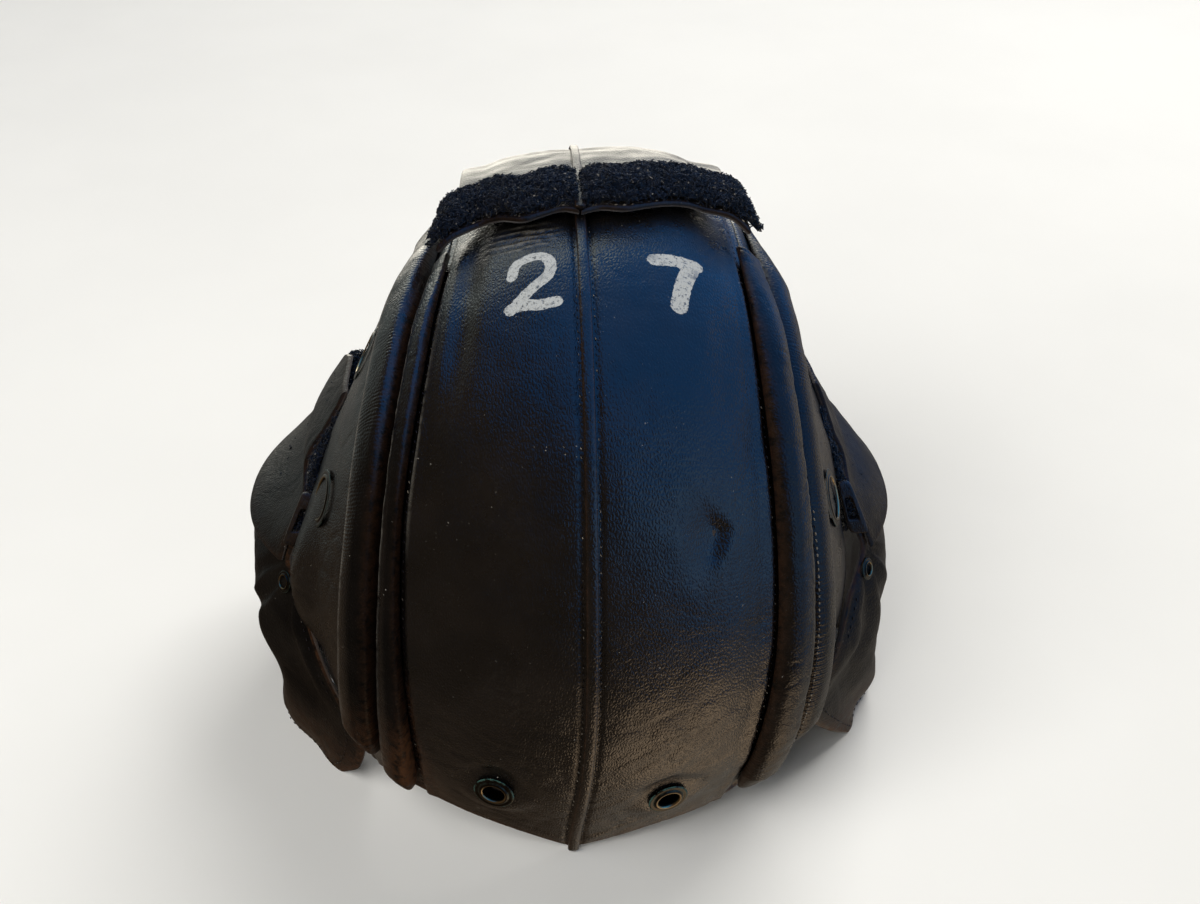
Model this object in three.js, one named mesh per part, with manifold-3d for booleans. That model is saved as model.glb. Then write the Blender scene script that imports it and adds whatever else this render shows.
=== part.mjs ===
// A leather tanker helmet that stands on its own hems, with the brow flap turned up over the crown.
// Millimetres, +Z up, +Y the way the wearer looks, +X to the wearer's right.
// The origin is on the floor under the middle of the helmet.
import * as THREE from "three";
import { mergeVertices } from "three/addons/utils/BufferGeometryUtils.js";
import Module from "manifold-3d";

const wasm = await Module();
wasm.setup();

// The ear axis runs along X, and x is where the helmet's middle plane crosses it. Every cross section of
// the crown lies in a half plane that turns about it: turn 0 points straight back, 90 up and 180 ahead.
const EAR = { x: 4, y: 16, z: 62 };
const GAP = 0.35; // between pieces that are sewn together on the real helmet
const LEATHER = 2.4; // a crown or side panel
const FLAP_LEATHER = 2; // brow flap, ear flap and cheek flap

const SIDES = {
  left: { name: "left", sign: -1 },
  right: { name: "right", sign: 1 },
};

// How far out each half stands, as a multiple of its section: crown near the centre seam, ear at the
// side. Rise lifts its shoulder, in millimetres. The helmet leans to its left as it stands.
const SPREAD = {
  left: [
    { turn: -34, crown: 1.02, ear: 1.02, rise: 0 },
    { turn: 20, crown: 1, ear: 1.02, rise: 0 },
    { turn: 45, crown: 0.98, ear: 1.02, rise: 0 },
    { turn: 70, crown: 0.92, ear: 1.01, rise: 0 },
    { turn: 95, crown: 0.83, ear: 0.97, rise: 0 },
    { turn: 140, crown: 0.81, ear: 0.95, rise: 0 },
  ],
  right: [
    { turn: -34, crown: 0.98, ear: 0.98, rise: 0 },
    { turn: 20, crown: 1, ear: 0.98, rise: 0 },
    { turn: 45, crown: 1.01, ear: 0.98, rise: 0 },
    { turn: 70, crown: 1.02, ear: 1, rise: 1 },
    { turn: 95, crown: 1.01, ear: 1.01, rise: 2.6 },
    { turn: 140, crown: 0.99, ear: 0.98, rise: 2.2 },
  ],
};

// One row for each cross section, a curve from the centre seam (0, crown) to the ear (earX, earR).
// Keel and reach place its first handle, waistX and waistR the second.
const SECTIONS = [
  { turn: -90, crown: 150, keel: 8, reach: 48, waistX: 76, waistR: 104, earX: 90, earR: 22 },
  { turn: -60, crown: 138, keel: 8, reach: 48, waistX: 76, waistR: 94, earX: 88, earR: 20 },
  { turn: -34, crown: 111, keel: 6, reach: 50, waistX: 80, waistR: 84, earX: 89, earR: 14 },
  { turn: -10, crown: 107.5, keel: 5, reach: 54, waistX: 86, waistR: 80, earX: 91, earR: 12 },
  { turn: 15, crown: 110.5, keel: 4, reach: 58, waistX: 86, waistR: 78, earX: 92, earR: 10 },
  { turn: 40, crown: 117, keel: 4, reach: 57, waistX: 78, waistR: 80, earX: 93, earR: 10 },
  { turn: 65, crown: 120.8, keel: 3, reach: 57, waistX: 67, waistR: 83, earX: 94, earR: 10 },
  { turn: 90, crown: 118, keel: 0, reach: 60, waistX: 58, waistR: 86, earX: 96, earR: 9 },
  { turn: 115, crown: 120.5, keel: -1, reach: 64, waistX: 53, waistR: 87, earX: 97, earR: 8 },
  { turn: 140, crown: 114, keel: 0, reach: 58, waistX: 50, waistR: 78, earX: 96, earR: 8 },
];

// Seams, measured along a section from the centre seam: the edge of the crown panel, the seam between
// the inner and outer rib, and the outer rib's far edge.
const SEAMS = {
  left: [
    { turn: -60, panel: 46, inner: 58, outer: 72 },
    { turn: -34, panel: 50, inner: 62, outer: 77 },
    { turn: -10, panel: 53, inner: 64.5, outer: 80 },
    { turn: 15, panel: 55.5, inner: 64, outer: 78 },
    { turn: 40, panel: 55, inner: 62, outer: 75 },
    { turn: 65, panel: 50.5, inner: 58, outer: 71.5 },
    { turn: 90, panel: 47, inner: 54.5, outer: 68 },
    { turn: 115, panel: 45, inner: 52.5, outer: 66 },
    { turn: 140, panel: 43, inner: 51, outer: 64 },
  ],
  right: [
    { turn: -60, panel: 46, inner: 59, outer: 72 },
    { turn: -34, panel: 50, inner: 63, outer: 76 },
    { turn: -10, panel: 54, inner: 67, outer: 80 },
    { turn: 15, panel: 56.5, inner: 69, outer: 81 },
    { turn: 40, panel: 55.5, inner: 67.5, outer: 79 },
    { turn: 65, panel: 52, inner: 63.5, outer: 75 },
    { turn: 90, panel: 49, inner: 60, outer: 71 },
    { turn: 115, panel: 48, inner: 58.5, outer: 69 },
    { turn: 140, panel: 46, inner: 56, outer: 66 },
  ],
};

// Height of the lower hem above the floor, at a distance from the centre seam.
const HEM = [
  { from: 0, left: 0, right: 0 },
  { from: 25, left: 11, right: 6.8 },
  { from: 50, left: 18, right: 9 },
  { from: 68, left: 14, right: 13.5 },
  { from: 82, left: 5, right: 21 },
  { from: 96, left: 5, right: 28 },
  { from: 115, left: 14, right: 36 },
];

// Where each side panel ends round the ear, measured from the centre seam.
const EAR_EDGE = [
  { turn: -90, from: 126 },
  { turn: -60, from: 118 },
  { turn: -34, from: 112 },
  { turn: -10, from: 114 },
  { turn: 15, from: 116 },
  { turn: 40, from: 120 },
  { turn: 65, from: 122 },
  { turn: 90, from: 122 },
  { turn: 115, from: 116 },
  { turn: 140, from: 104 },
];

// The centre seam drifts to the left where the nape sags.
const SWAY = [
  { turn: -60, x: -6 },
  { turn: -30, x: -4.6 },
  { turn: 0, x: -0.4 },
  { turn: 30, x: 0.4 },
  { turn: 140, x: 0 },
];

const CROWN = { front: 128, seam: 0.4, rows: 22, columns: 7 };
const SIDE_PANEL = { rows: 20, columns: 7 };
const WELT = { width: 3.4, height: 1.1, seat: 0.5, front: 124, steps: 22 };
const RIB = { height: 6.2, edge: 0.7, inset: 0.5, steps: 24, taper: 0.09 };
const INNER_RIB = { front: 87, frontHeight: 0.45, foot: 2.5 };
const OUTER_RIB = { front: 106, frontHeight: 0.3, foot: 19 };

// The brow flap's free edge and its end inside the crown are turns. Face is how far its hidden side
// stands off the crown, and rise how much farther it stands over the ribs.
const BROW = { edge: 84, tuck: 118, face: 2.35, rise: 3.2, under: 0.5, columns: 8 };
const BROW_HALF_WIDTH = { left: 46.5, right: 50 };
const PLUSH = { from: 85.2, to: 95.4, height: 5.6, overhang: 1.5, lump: 0.5, columns: 14, rows: 6 };

// From is a distance from the centre seam, and height is above the floor.
const NAPE_EYELET = { from: 27, height: { left: 36, right: 28.5 } };
const NAPE_RING = { flange: 6.3, barrel: 4, hole: 3.3, lip: 1, seat: 0.6, grip: 1.2, sides: 14 };
const SIDE_RING = { flange: 9, hole: 6.3, lip: 1.2, sides: 16 };

// Radius is the distance from the ear axis.
const SIDE_EYELETS = [
  { name: "lower", turn: { left: 45, right: 42 }, radius: 60 },
  { name: "upper", turn: { left: 84, right: 84 }, radius: 73 },
];
const EAR_FLAP = { rows: 7, columns: 12 };
const EAR_FUR = { thickness: 6, low: 82, high: 112, rows: 7, columns: 10 };
const TAB = { width: 7, low: 82, high: 96, thickness: 2, overhang: 0.5, slotWidth: 3.6, slotHeight: 6 };
const CHEEK = { folds: 4, rows: 8, columns: 20 };
const CHEEK_EYELET = { level: 70, ahead: 5, lift: 0.2 }; // ahead of the flap's rear edge
const CHEEK_RING = { flange: 3.6, hole: 2, lip: 1, sides: 10 };
const FRONT_BEND = 2.2; // how squarely a flap turns in towards its front edge

// Ear flaps, one row for each level above the floor. Rear, mid and front are distances forward of the
// ear axis, and the X columns are distances out from the middle of the helmet. Bend is how squarely the
// flap turns in towards its rear edge.
const EAR_FLAPS = {
  left: [
    { z: 76, rear: -37, rearX: 97, mid: 0, midX: 111, front: 50, frontX: 90, bend: 2.2 },
    { z: 84, rear: -34, rearX: 94, mid: 0, midX: 101.5, front: 50, frontX: 88, bend: 2.2 },
    { z: 92, rear: -29, rearX: 91, mid: 0, midX: 94, front: 47, frontX: 85, bend: 2.2 },
    { z: 101, rear: -22, rearX: 87, mid: 0, midX: 89, front: 41, frontX: 82, bend: 2.2 },
    { z: 110, rear: -14, rearX: 80, mid: 0, midX: 82, front: 32, frontX: 79, bend: 2.2 },
    { z: 118, rear: -6, rearX: 75, mid: 3, midX: 76, front: 18, frontX: 76, bend: 2.2 },
  ],
  right: [
    { z: 76, rear: -37, rearX: 94, mid: 0, midX: 105, front: 50, frontX: 87, bend: 2.2 },
    { z: 84, rear: -34, rearX: 91, mid: 0, midX: 98, front: 50, frontX: 85, bend: 2.2 },
    { z: 92, rear: -29, rearX: 87.5, mid: 0, midX: 91, front: 47, frontX: 83, bend: 2.2 },
    { z: 101, rear: -22, rearX: 84, mid: 0, midX: 86, front: 41, frontX: 80, bend: 2.2 },
    { z: 110, rear: -14, rearX: 78, mid: 0, midX: 80, front: 32, frontX: 77, bend: 2.2 },
    { z: 118, rear: -6, rearX: 73, mid: 3, midX: 73.5, front: 18, frontX: 74, bend: 2.2 },
  ],
};

// Cheek flaps, in the same columns. Fold is the depth of the hanging folds at that level.
const CHEEK_FLAPS = {
  left: [
    { z: 0, rear: -57, rearX: 82, mid: -6, midX: 104, front: 46, frontX: 86, bend: 3, fold: 3.2 },
    { z: 12, rear: -66, rearX: 75, mid: -6, midX: 106, front: 50, frontX: 88, bend: 3, fold: 3.2 },
    { z: 30, rear: -72, rearX: 72, mid: -4, midX: 108.5, front: 52, frontX: 90, bend: 3, fold: 2.6 },
    { z: 50, rear: -67, rearX: 80, mid: -2, midX: 113, front: 51, frontX: 91, bend: 3, fold: 1.8 },
    { z: 66, rear: -55, rearX: 87, mid: 0, midX: 113, front: 50, frontX: 90, bend: 2.6, fold: 0.8 },
    { z: 75, rear: -38, rearX: 94.2, mid: 0, midX: 107.6, front: 50, frontX: 87.4, bend: 2.2, fold: 0 },
    { z: 81, rear: -35.2, rearX: 92.6, mid: 0, midX: 102.6, front: 50, frontX: 86, bend: 2.2, fold: 0 },
  ],
  right: [
    { z: 0, rear: -45, rearX: 92.5, mid: -6, midX: 103.5, front: 46, frontX: 84, bend: 3, fold: 3.2 },
    { z: 12, rear: -55, rearX: 83, mid: -6, midX: 105, front: 50, frontX: 86, bend: 3.4, fold: 3.4 },
    { z: 30, rear: -64, rearX: 72.5, mid: -4, midX: 104.5, front: 52, frontX: 88, bend: 3.4, fold: 2.8 },
    { z: 50, rear: -61, rearX: 79.5, mid: -2, midX: 105.5, front: 51, frontX: 88.5, bend: 3, fold: 1.8 },
    { z: 66, rear: -51, rearX: 85, mid: 0, midX: 104.5, front: 50, frontX: 87, bend: 2.6, fold: 0.8 },
    { z: 75, rear: -38, rearX: 91, mid: 0, midX: 101.8, front: 50, frontX: 84.4, bend: 2.2, fold: 0 },
    { z: 81, rear: -35.2, rearX: 89.6, mid: 0, midX: 98, front: 50, frontX: 83, bend: 2.2, fold: 0 },
  ],
};

const RADIANS = Math.PI / 180;
const SLOPE_STEP = 0.5; // degrees or millimetres, for the directions along and across the crown

const mix = (a, b, t) => a + (b - a) * t;
const clamp = (value, low, high) => Math.min(Math.max(value, low), high);

// 0 below zero, 1 above one, and a soft step between.
function ease(t) {
  const held = clamp(t, 0, 1);
  return held * held * (3 - 2 * held);
}

// A column's value on the smooth curve through a table's rows, where the key column equals at.
function read(table, key, column, at) {
  const last = table.length - 1;
  let row = 0;
  while (row < last - 1 && at > table[row + 1][key]) row += 1;
  const slope = (index) => {
    const before = table[Math.max(index - 1, 0)];
    const after = table[Math.min(index + 1, last)];
    return (after[column] - before[column]) / (after[key] - before[key]);
  };
  const low = table[row];
  const high = table[row + 1];
  const span = high[key] - low[key];
  const t = clamp((at - low[key]) / span, 0, 1);
  const start = (1 + 2 * t) * (1 - t) ** 2 * low[column] + t * (1 - t) ** 2 * span * slope(row);
  const end = t * t * (3 - 2 * t) * high[column] - t * t * (1 - t) * span * slope(row + 1);
  return start + end;
}

// The value between low and high where a rising function reaches zero.
function solve(low, high, rising) {
  let [a, b] = [low, high];
  for (let i = 0; i < 30; i += 1) {
    const middle = (a + b) / 2;
    if (rising(middle) > 0) b = middle;
    else a = middle;
  }
  return (a + b) / 2;
}

const sections = new Map();

// The curve of one cross section, and its length.
function section(turn) {
  const key = turn.toFixed(3);
  if (!sections.has(key)) {
    const value = (column) => read(SECTIONS, "turn", column, turn);
    const curve = new THREE.CubicBezierCurve(
      new THREE.Vector2(0, value("crown")),
      new THREE.Vector2(value("reach"), value("crown") - value("keel")),
      new THREE.Vector2(value("waistX"), value("waistR")),
      new THREE.Vector2(value("earX"), value("earR")),
    );
    sections.set(key, { curve, length: curve.getLength() });
  }
  return sections.get(key);
}

const seamAt = (side, name, turn) => read(SEAMS[side.name], "turn", name, turn);
const SHOULDER = 45; // distance from the centre seam at which a half turns from its top to its side

// A point on the outer face of the crown.
function onShell(side, turn, from) {
  const { curve, length } = section(turn);
  const flat = curve.getPointAt(clamp(from / length, 0, 1));
  const share = (column) => read(SPREAD[side.name], "turn", column, turn);
  const spread = mix(share("crown"), share("ear"), ease((from - SHOULDER) / 38));
  const radius = flat.y + share("rise") * Math.sin((Math.PI / 2) * clamp(from / SHOULDER, 0, 2));
  const drift = read(SWAY, "turn", "x", turn) * (1 - clamp(from / 90, 0, 1));
  return new THREE.Vector3(
    EAR.x + side.sign * flat.x * spread + drift,
    EAR.y - radius * Math.cos(turn * RADIANS),
    EAR.z + radius * Math.sin(turn * RADIANS),
  );
}

// The direction out of the crown. Beside the centre seam it leans neither way, so the halves meet.
function outward(side, turn, from) {
  const along = onShell(side, turn + SLOPE_STEP, from).sub(onShell(side, turn - SLOPE_STEP, from));
  const across = onShell(side, turn, from + SLOPE_STEP).sub(onShell(side, turn, from - SLOPE_STEP));
  const normal = across.cross(along).multiplyScalar(side.sign).normalize();
  normal.x *= clamp(from / 8, 0, 1);
  return normal.normalize();
}

// A point that stands off the crown by lift, or inside its leather where lift is negative.
function offShell(side, turn, from, lift) {
  return onShell(side, turn, from).addScaledVector(outward(side, turn, from), lift);
}

// Distance out from the middle of the helmet to the crown's outer face, beside a point (y, z).
function wallX(side, y, z) {
  const turn = Math.atan2(z - EAR.z, EAR.y - y) / RADIANS;
  const radius = Math.hypot(y - EAR.y, z - EAR.z);
  const { curve, length } = section(turn);
  const from = solve(20, length, (at) => radius - curve.getPointAt(at / length).y);
  return side.sign * (onShell(side, turn, from).x - EAR.x);
}

// The turn at which a column of a panel comes down to the hem.
function hemTurn(side, column) {
  return solve(-88, 60, (turn) => {
    const from = column(turn);
    return onShell(side, turn, from).z - read(HEM, "from", side.name, from);
  });
}

// A closed geometry from corner points and triangles, turned to face out.
function solid(points, triangles) {
  const volume = triangles.reduce((sum, [a, b, c]) => {
    return sum + points[a].dot(new THREE.Vector3().crossVectors(points[b], points[c]));
  }, 0);
  const index = triangles.flatMap(([a, b, c]) => (volume < 0 ? [a, c, b] : [a, b, c]));
  const geometry = new THREE.BufferGeometry().setFromPoints(points);
  geometry.setIndex(index);
  return geometry;
}

// A wall between an outer and an inner face, each a grid of points over u and v from 0 to 1.
function wall(columns, rows, outer, inner) {
  const points = [];
  for (const face of [outer, inner]) {
    for (let j = 0; j <= rows; j += 1) {
      for (let i = 0; i <= columns; i += 1) points.push(face(i / columns, j / rows));
    }
  }
  const at = (face, i, j) => face * (columns + 1) * (rows + 1) + j * (columns + 1) + i;
  const triangles = [];
  const quad = (a, b, c, d) => triangles.push([a, b, c], [a, c, d]);
  for (let j = 0; j < rows; j += 1) {
    for (let i = 0; i < columns; i += 1) {
      quad(at(0, i, j), at(0, i + 1, j), at(0, i + 1, j + 1), at(0, i, j + 1));
      quad(at(1, i, j), at(1, i, j + 1), at(1, i + 1, j + 1), at(1, i + 1, j));
    }
    quad(at(0, 0, j), at(0, 0, j + 1), at(1, 0, j + 1), at(1, 0, j));
    quad(at(0, columns, j), at(1, columns, j), at(1, columns, j + 1), at(0, columns, j + 1));
  }
  for (let i = 0; i < columns; i += 1) {
    quad(at(0, i, 0), at(1, i, 0), at(1, i + 1, 0), at(0, i + 1, 0));
    quad(at(0, i, rows), at(0, i + 1, rows), at(1, i + 1, rows), at(1, i, rows));
  }
  return solid(points, triangles);
}

// A solid through a row of rings with equal numbers of points, closed at both ends.
function loft(rings) {
  const count = rings[0].length;
  const points = rings.flat();
  const triangles = [];
  for (let r = 0; r < rings.length - 1; r += 1) {
    for (let k = 0; k < count; k += 1) {
      const next = (k + 1) % count;
      const [a, b] = [r * count + k, r * count + next];
      triangles.push([a, b, b + count], [a, b + count, a + count]);
    }
  }
  const last = (rings.length - 1) * count;
  for (let k = 1; k < count - 1; k += 1) {
    triangles.push([0, k + 1, k], [last, last + k, last + k + 1]);
  }
  return solid(points, triangles);
}

// A three.js geometry as a manifold solid, and back.
function toManifold(geometry) {
  const bare = geometry.clone();
  bare.deleteAttribute("normal");
  bare.deleteAttribute("uv");
  const merged = mergeVertices(bare, 1e-4);
  const mesh = new wasm.Mesh({
    numProp: 3,
    vertProperties: merged.attributes.position.array,
    triVerts: new Uint32Array(merged.index.array),
  });
  return new wasm.Manifold(mesh);
}

function fromManifold(made) {
  const mesh = made.getMesh();
  const geometry = new THREE.BufferGeometry();
  geometry.setAttribute("position", new THREE.BufferAttribute(mesh.vertProperties, 3));
  geometry.setIndex(new THREE.BufferAttribute(mesh.triVerts, 1));
  return geometry;
}

const cut = (geometry, tool) => fromManifold(toManifold(geometry).subtract(toManifold(tool)));

// A round piece turned about its own Z axis, set on the helmet at a place with Z pointing out.
function setRound(geometry, place, out) {
  const turnOut = new THREE.Quaternion().setFromUnitVectors(new THREE.Vector3(0, 0, 1), out);
  geometry.rotateX(Math.PI / 2);
  geometry.applyQuaternion(turnOut);
  geometry.translate(place.x, place.y, place.z);
  return geometry;
}

// A ring from its radial profile of [radius, height] corners.
function ring(profile, sides) {
  const corners = profile.map(([radius, height]) => new THREE.Vector2(radius, height));
  return new THREE.LatheGeometry([...corners, corners[0]], sides);
}

// Crown panel: from the centre seam to the middle of the inner rib, which covers its edge.
const splitAt = (side, turn) => (seamAt(side, "panel", turn) + seamAt(side, "inner", turn)) / 2;

function panel(side, size, near, far) {
  const fromAt = (u) => (turn) => mix(near(turn), far(turn), u);
  const lowest = new Map();
  const place = (u, v, lift) => {
    if (!lowest.has(u)) lowest.set(u, hemTurn(side, fromAt(u)));
    const turn = mix(lowest.get(u), CROWN.front, v);
    return offShell(side, turn, fromAt(u)(turn), lift);
  };
  return wall(size.columns, size.rows, (u, v) => place(u, v, 0), (u, v) => place(u, v, -LEATHER));
}

// Where a nape eyelet sits: a distance from the centre seam and a height above the floor.
function napeEyeletSpot(side) {
  const { from, height } = NAPE_EYELET;
  const turn = solve(-58, 60, (at) => onShell(side, at, from).z - height[side.name]);
  return { place: onShell(side, turn, from), out: outward(side, turn, from) };
}

function crownPanel(side) {
  const far = (turn) => splitAt(side, turn) - CROWN.seam / 2;
  const leather = panel(side, CROWN, () => CROWN.seam / 2, far);
  const spot = napeEyeletSpot(side);
  const bore = NAPE_RING.barrel + GAP;
  const drill = new THREE.CylinderGeometry(bore, bore, 16, NAPE_RING.sides);
  return cut(leather, setRound(drill, spot.place, spot.out));
}

function sidePanel(side) {
  const earEdge = (turn) => read(EAR_EDGE, "turn", "from", turn);
  return panel(side, SIDE_PANEL, (turn) => splitAt(side, turn) + CROWN.seam / 2, earEdge);
}

// Centre welt: a narrow raised strip over the seam between the crown panels.
function centreWelt() {
  const start = hemTurn(SIDES.left, () => 0) + 0.8;
  const rings = [];
  for (let i = 0; i <= WELT.steps; i += 1) {
    const turn = mix(start, WELT.front, i / WELT.steps);
    const at = (side, share, lift) => offShell(side, turn, (share * WELT.width) / 2, WELT.seat + lift);
    rings.push([
      at(SIDES.left, 1, 0),
      at(SIDES.left, 0.7, WELT.height),
      at(SIDES.right, 0.7, WELT.height),
      at(SIDES.right, 1, 0),
      at(SIDES.right, 0, 0),
    ]);
  }
  return loft(rings);
}

// A padded roll between two seams. Its ends taper over a share of its length.
function rib(side, seams, startTurn, endTurn, endHeight) {
  const rings = [];
  const high = [0, 1, 2, 3, 4, 5, 6];
  const low = [6, 4, 2, 0];
  for (let i = 0; i <= RIB.steps; i += 1) {
    const t = i / RIB.steps;
    const turn = mix(startTurn, endTurn, t);
    const near = seamAt(side, seams[0], turn) + RIB.inset;
    const far = seamAt(side, seams[1], turn) - RIB.inset;
    const start = Math.sqrt(clamp(t / RIB.taper, 0.06, 1));
    const end = mix(endHeight, 1, ease((1 - t) / (2 * RIB.taper)));
    const width = mix(0.5, 1, start);
    const height = Math.min(RIB.height, (far - near) / 2) * start * end;
    const at = (k, lift) => {
      const share = mix(0.5, k / 6, width);
      return offShell(side, turn, mix(near, far, share), lift);
    };
    const top = high.map((k) => at(k, GAP + RIB.edge + height * Math.sin((Math.PI * k) / 6) ** 0.7));
    rings.push([...top, ...low.map((k) => at(k, GAP))]);
  }
  return loft(rings);
}

function innerRib(side) {
  const start = hemTurn(side, (turn) => splitAt(side, turn)) + INNER_RIB.foot / 2;
  return rib(side, ["panel", "inner"], start, INNER_RIB.front, INNER_RIB.frontHeight);
}

function outerRib(side) {
  const start = hemTurn(side, (turn) => seamAt(side, "inner", turn)) + OUTER_RIB.foot / 2;
  return rib(side, ["inner", "outer"], start, OUTER_RIB.front, OUTER_RIB.frontHeight);
}

// A point of the turned up brow flap. Along runs from its free edge, forward over the crown to 0.7,
// round the crown's front edge to 0.9 and back inside; out is the distance from its hidden face.
function onBrow(side, along, from, out) {
  const face = BROW.face + BROW.rise * ease((from - BROW_HALF_WIDTH[side.name] + 14) / 10);
  const inside = -LEATHER - BROW.under;
  if (along <= 0.7) return offShell(side, mix(BROW.edge, CROWN.front, along / 0.7), from, face + out);
  if (along >= 0.9) {
    const turn = mix(CROWN.front, BROW.tuck, (along - 0.9) / 0.1);
    return offShell(side, turn, from, inside - out);
  }
  const angle = ((along - 0.7) / 0.2) * Math.PI;
  const radius = (face - inside) / 2 + out;
  const forward = (radius * Math.sin(angle)) / section(CROWN.front).curve.v0.y;
  const lift = (face + inside) / 2 + radius * Math.cos(angle);
  return offShell(side, CROWN.front + forward / RADIANS, from, lift);
}

const BROW_STOPS = [0, 0.14, 0.28, 0.42, 0.56, 0.7, 0.74, 0.78, 0.82, 0.86, 0.9, 1];
const browStop = (v) => BROW_STOPS[Math.round(v * (BROW_STOPS.length - 1))];

function browFlap(side) {
  const rows = BROW_STOPS.length - 1;
  const from = (u) => mix(CROWN.seam / 2, BROW_HALF_WIDTH[side.name], u);
  const at = (u, v, out) => onBrow(side, browStop(v), from(u), out);
  return wall(BROW.columns, rows, (u, v) => at(u, v, FLAP_LEATHER), (u, v) => at(u, v, 0));
}

// The welt of the brow flap's own centre seam.
function browWelt() {
  const rings = BROW_STOPS.slice(0, -1).map((along) => {
    const at = (side, share, out) => onBrow(side, along, (share * WELT.width) / 2, out);
    const low = FLAP_LEATHER + GAP;
    return [
      at(SIDES.left, 1, low),
      at(SIDES.left, 0.7, low + WELT.height),
      at(SIDES.right, 0.7, low + WELT.height),
      at(SIDES.right, 1, low),
      at(SIDES.right, 0, low),
    ];
  });
  return loft(rings);
}

// Band of plush along the brow flap's free edge, thick in the middle and rounded at its edges.
function browFur(side) {
  const stop = (turn) => ((turn - BROW.edge) / (CROWN.front - BROW.edge)) * 0.7;
  const near = WELT.width / 2 + GAP;
  const far = BROW_HALF_WIDTH[side.name] + PLUSH.overhang;
  const at = (u, v, lift) => {
    return onBrow(side, mix(stop(PLUSH.from), stop(PLUSH.to), v), mix(near, far, u), lift);
  };
  const height = (u, v) => {
    const round = Math.min(1, 4 * v, 4 * (1 - v), 0.5 + 6 * u, 6 * (1 - u));
    const lump = PLUSH.lump * Math.sin(11 * Math.PI * u) * Math.cos(5 * v + 9 * u);
    return PLUSH.height * Math.sqrt(Math.max(round, 0.12)) + lump;
  };
  const low = FLAP_LEATHER + 2 * GAP;
  const lower = (u, v) => at(u, v, low);
  return wall(PLUSH.columns, PLUSH.rows, (u, v) => at(u, v, low + height(u, v)), lower);
}

// Open eyelet near the nape edge: a flange outside, a barrel through the leather, a lip inside.
function napeEyelet(side) {
  const { place, out } = napeEyeletSpot(side);
  const { flange, barrel, hole, lip, seat, grip, sides } = NAPE_RING;
  const low = -LEATHER - seat;
  const profile = [
    [hole, low - 0.5 * lip],
    [barrel + grip, low - 0.5 * lip],
    [barrel + grip, low],
    [barrel, low],
    [barrel, seat],
    [flange, seat],
    [flange, seat + 0.5 * lip],
    [mix(hole, flange, 0.4), seat + lip],
    [hole, seat + 0.6 * lip],
  ];
  return setRound(ring(profile, sides), place, out);
}

// A ring that lies on the leather: vent eyelets of the side panels and eyelets of the cheek flaps.
function blindEyelet(place, out, { flange, hole, lip, sides }) {
  const profile = [
    [hole, 0],
    [flange, 0],
    [flange, 0.4 * lip],
    [mix(hole, flange, 0.5), lip],
    [hole, 0.7 * lip],
  ];
  return setRound(ring(profile, sides), place.clone().addScaledVector(out, GAP), out);
}

function sideEyelet(side, spot) {
  const turn = spot.turn[side.name];
  const { curve, length } = section(turn);
  const from = solve(20, length, (at) => spot.radius - curve.getPointAt(at / length).y);
  return blindEyelet(onShell(side, turn, from), outward(side, turn, from), SIDE_RING);
}

// Distance out to a flap's outer face: widest at mid, and falling away to its rear and front edges.
function flapX(row, y) {
  const back = y < row.mid;
  const share = back ? (row.mid - y) / (row.mid - row.rear) : (y - row.mid) / (row.front - row.mid);
  const edge = back ? row.rearX : row.frontX;
  return row.midX - (row.midX - edge) * share ** (back ? row.bend : FRONT_BEND);
}

function flapRow(table, z) {
  const row = {};
  for (const column of Object.keys(table[0])) row[column] = read(table, "z", column, z);
  return row;
}

// A point of an ear flap, set in from its outer face but never inside the side panel.
function onEarFlap(side, along, z, inset) {
  const row = flapRow(EAR_FLAPS[side.name], z);
  const y = mix(row.rear, row.front, along);
  const free = flapX(row, y);
  const seated = wallX(side, EAR.y + y, z) + GAP + FLAP_LEATHER;
  return new THREE.Vector3(EAR.x + side.sign * (Math.max(free, seated) - inset), EAR.y + y, z);
}

const levels = (table) => [table[0].z, table[table.length - 1].z];

function earFlap(side) {
  const [low, high] = levels(EAR_FLAPS[side.name]);
  const at = (u, v, inset) => onEarFlap(side, u, mix(low, high, v), inset);
  const inner = (u, v) => at(u, v, FLAP_LEATHER);
  return wall(EAR_FLAP.columns, EAR_FLAP.rows, (u, v) => at(u, v, 0), inner);
}

// Plush lining of the ear flap, thinning out where the flap comes down to the side panel.
function earFur(side) {
  const face = FLAP_LEATHER + GAP;
  const outer = (u, v) => onEarFlap(side, u, mix(EAR_FUR.low, EAR_FUR.high, v), face);
  const inner = (u, v) => {
    const z = mix(EAR_FUR.low, EAR_FUR.high, v);
    const point = onEarFlap(side, u, z, face + EAR_FUR.thickness);
    const limit = wallX(side, point.y, z) + GAP;
    point.x = EAR.x + side.sign * Math.max(side.sign * (point.x - EAR.x), limit);
    return point;
  };
  return wall(EAR_FUR.columns, EAR_FUR.rows, outer, inner);
}

// A point of a cheek flap, whose folds deepen towards the floor.
function onCheek(side, along, z, inset) {
  const row = flapRow(CHEEK_FLAPS[side.name], z);
  const y = mix(row.rear, row.front, along);
  const fold = row.fold * (0.5 - 0.5 * Math.cos(2 * Math.PI * CHEEK.folds * along));
  const seated = wallX(side, EAR.y + y, z) + 2 * GAP + FLAP_LEATHER;
  const x = Math.max(flapX(row, y) - fold, seated) - inset;
  return new THREE.Vector3(EAR.x + side.sign * x, EAR.y + y, z);
}

function cheekFlap(side) {
  const [low, high] = levels(CHEEK_FLAPS[side.name]);
  const at = (u, v, inset) => onCheek(side, u, mix(low, high, v), inset);
  return wall(CHEEK.columns, CHEEK.rows, (u, v) => at(u, v, 0), (u, v) => at(u, v, FLAP_LEATHER));
}

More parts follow.
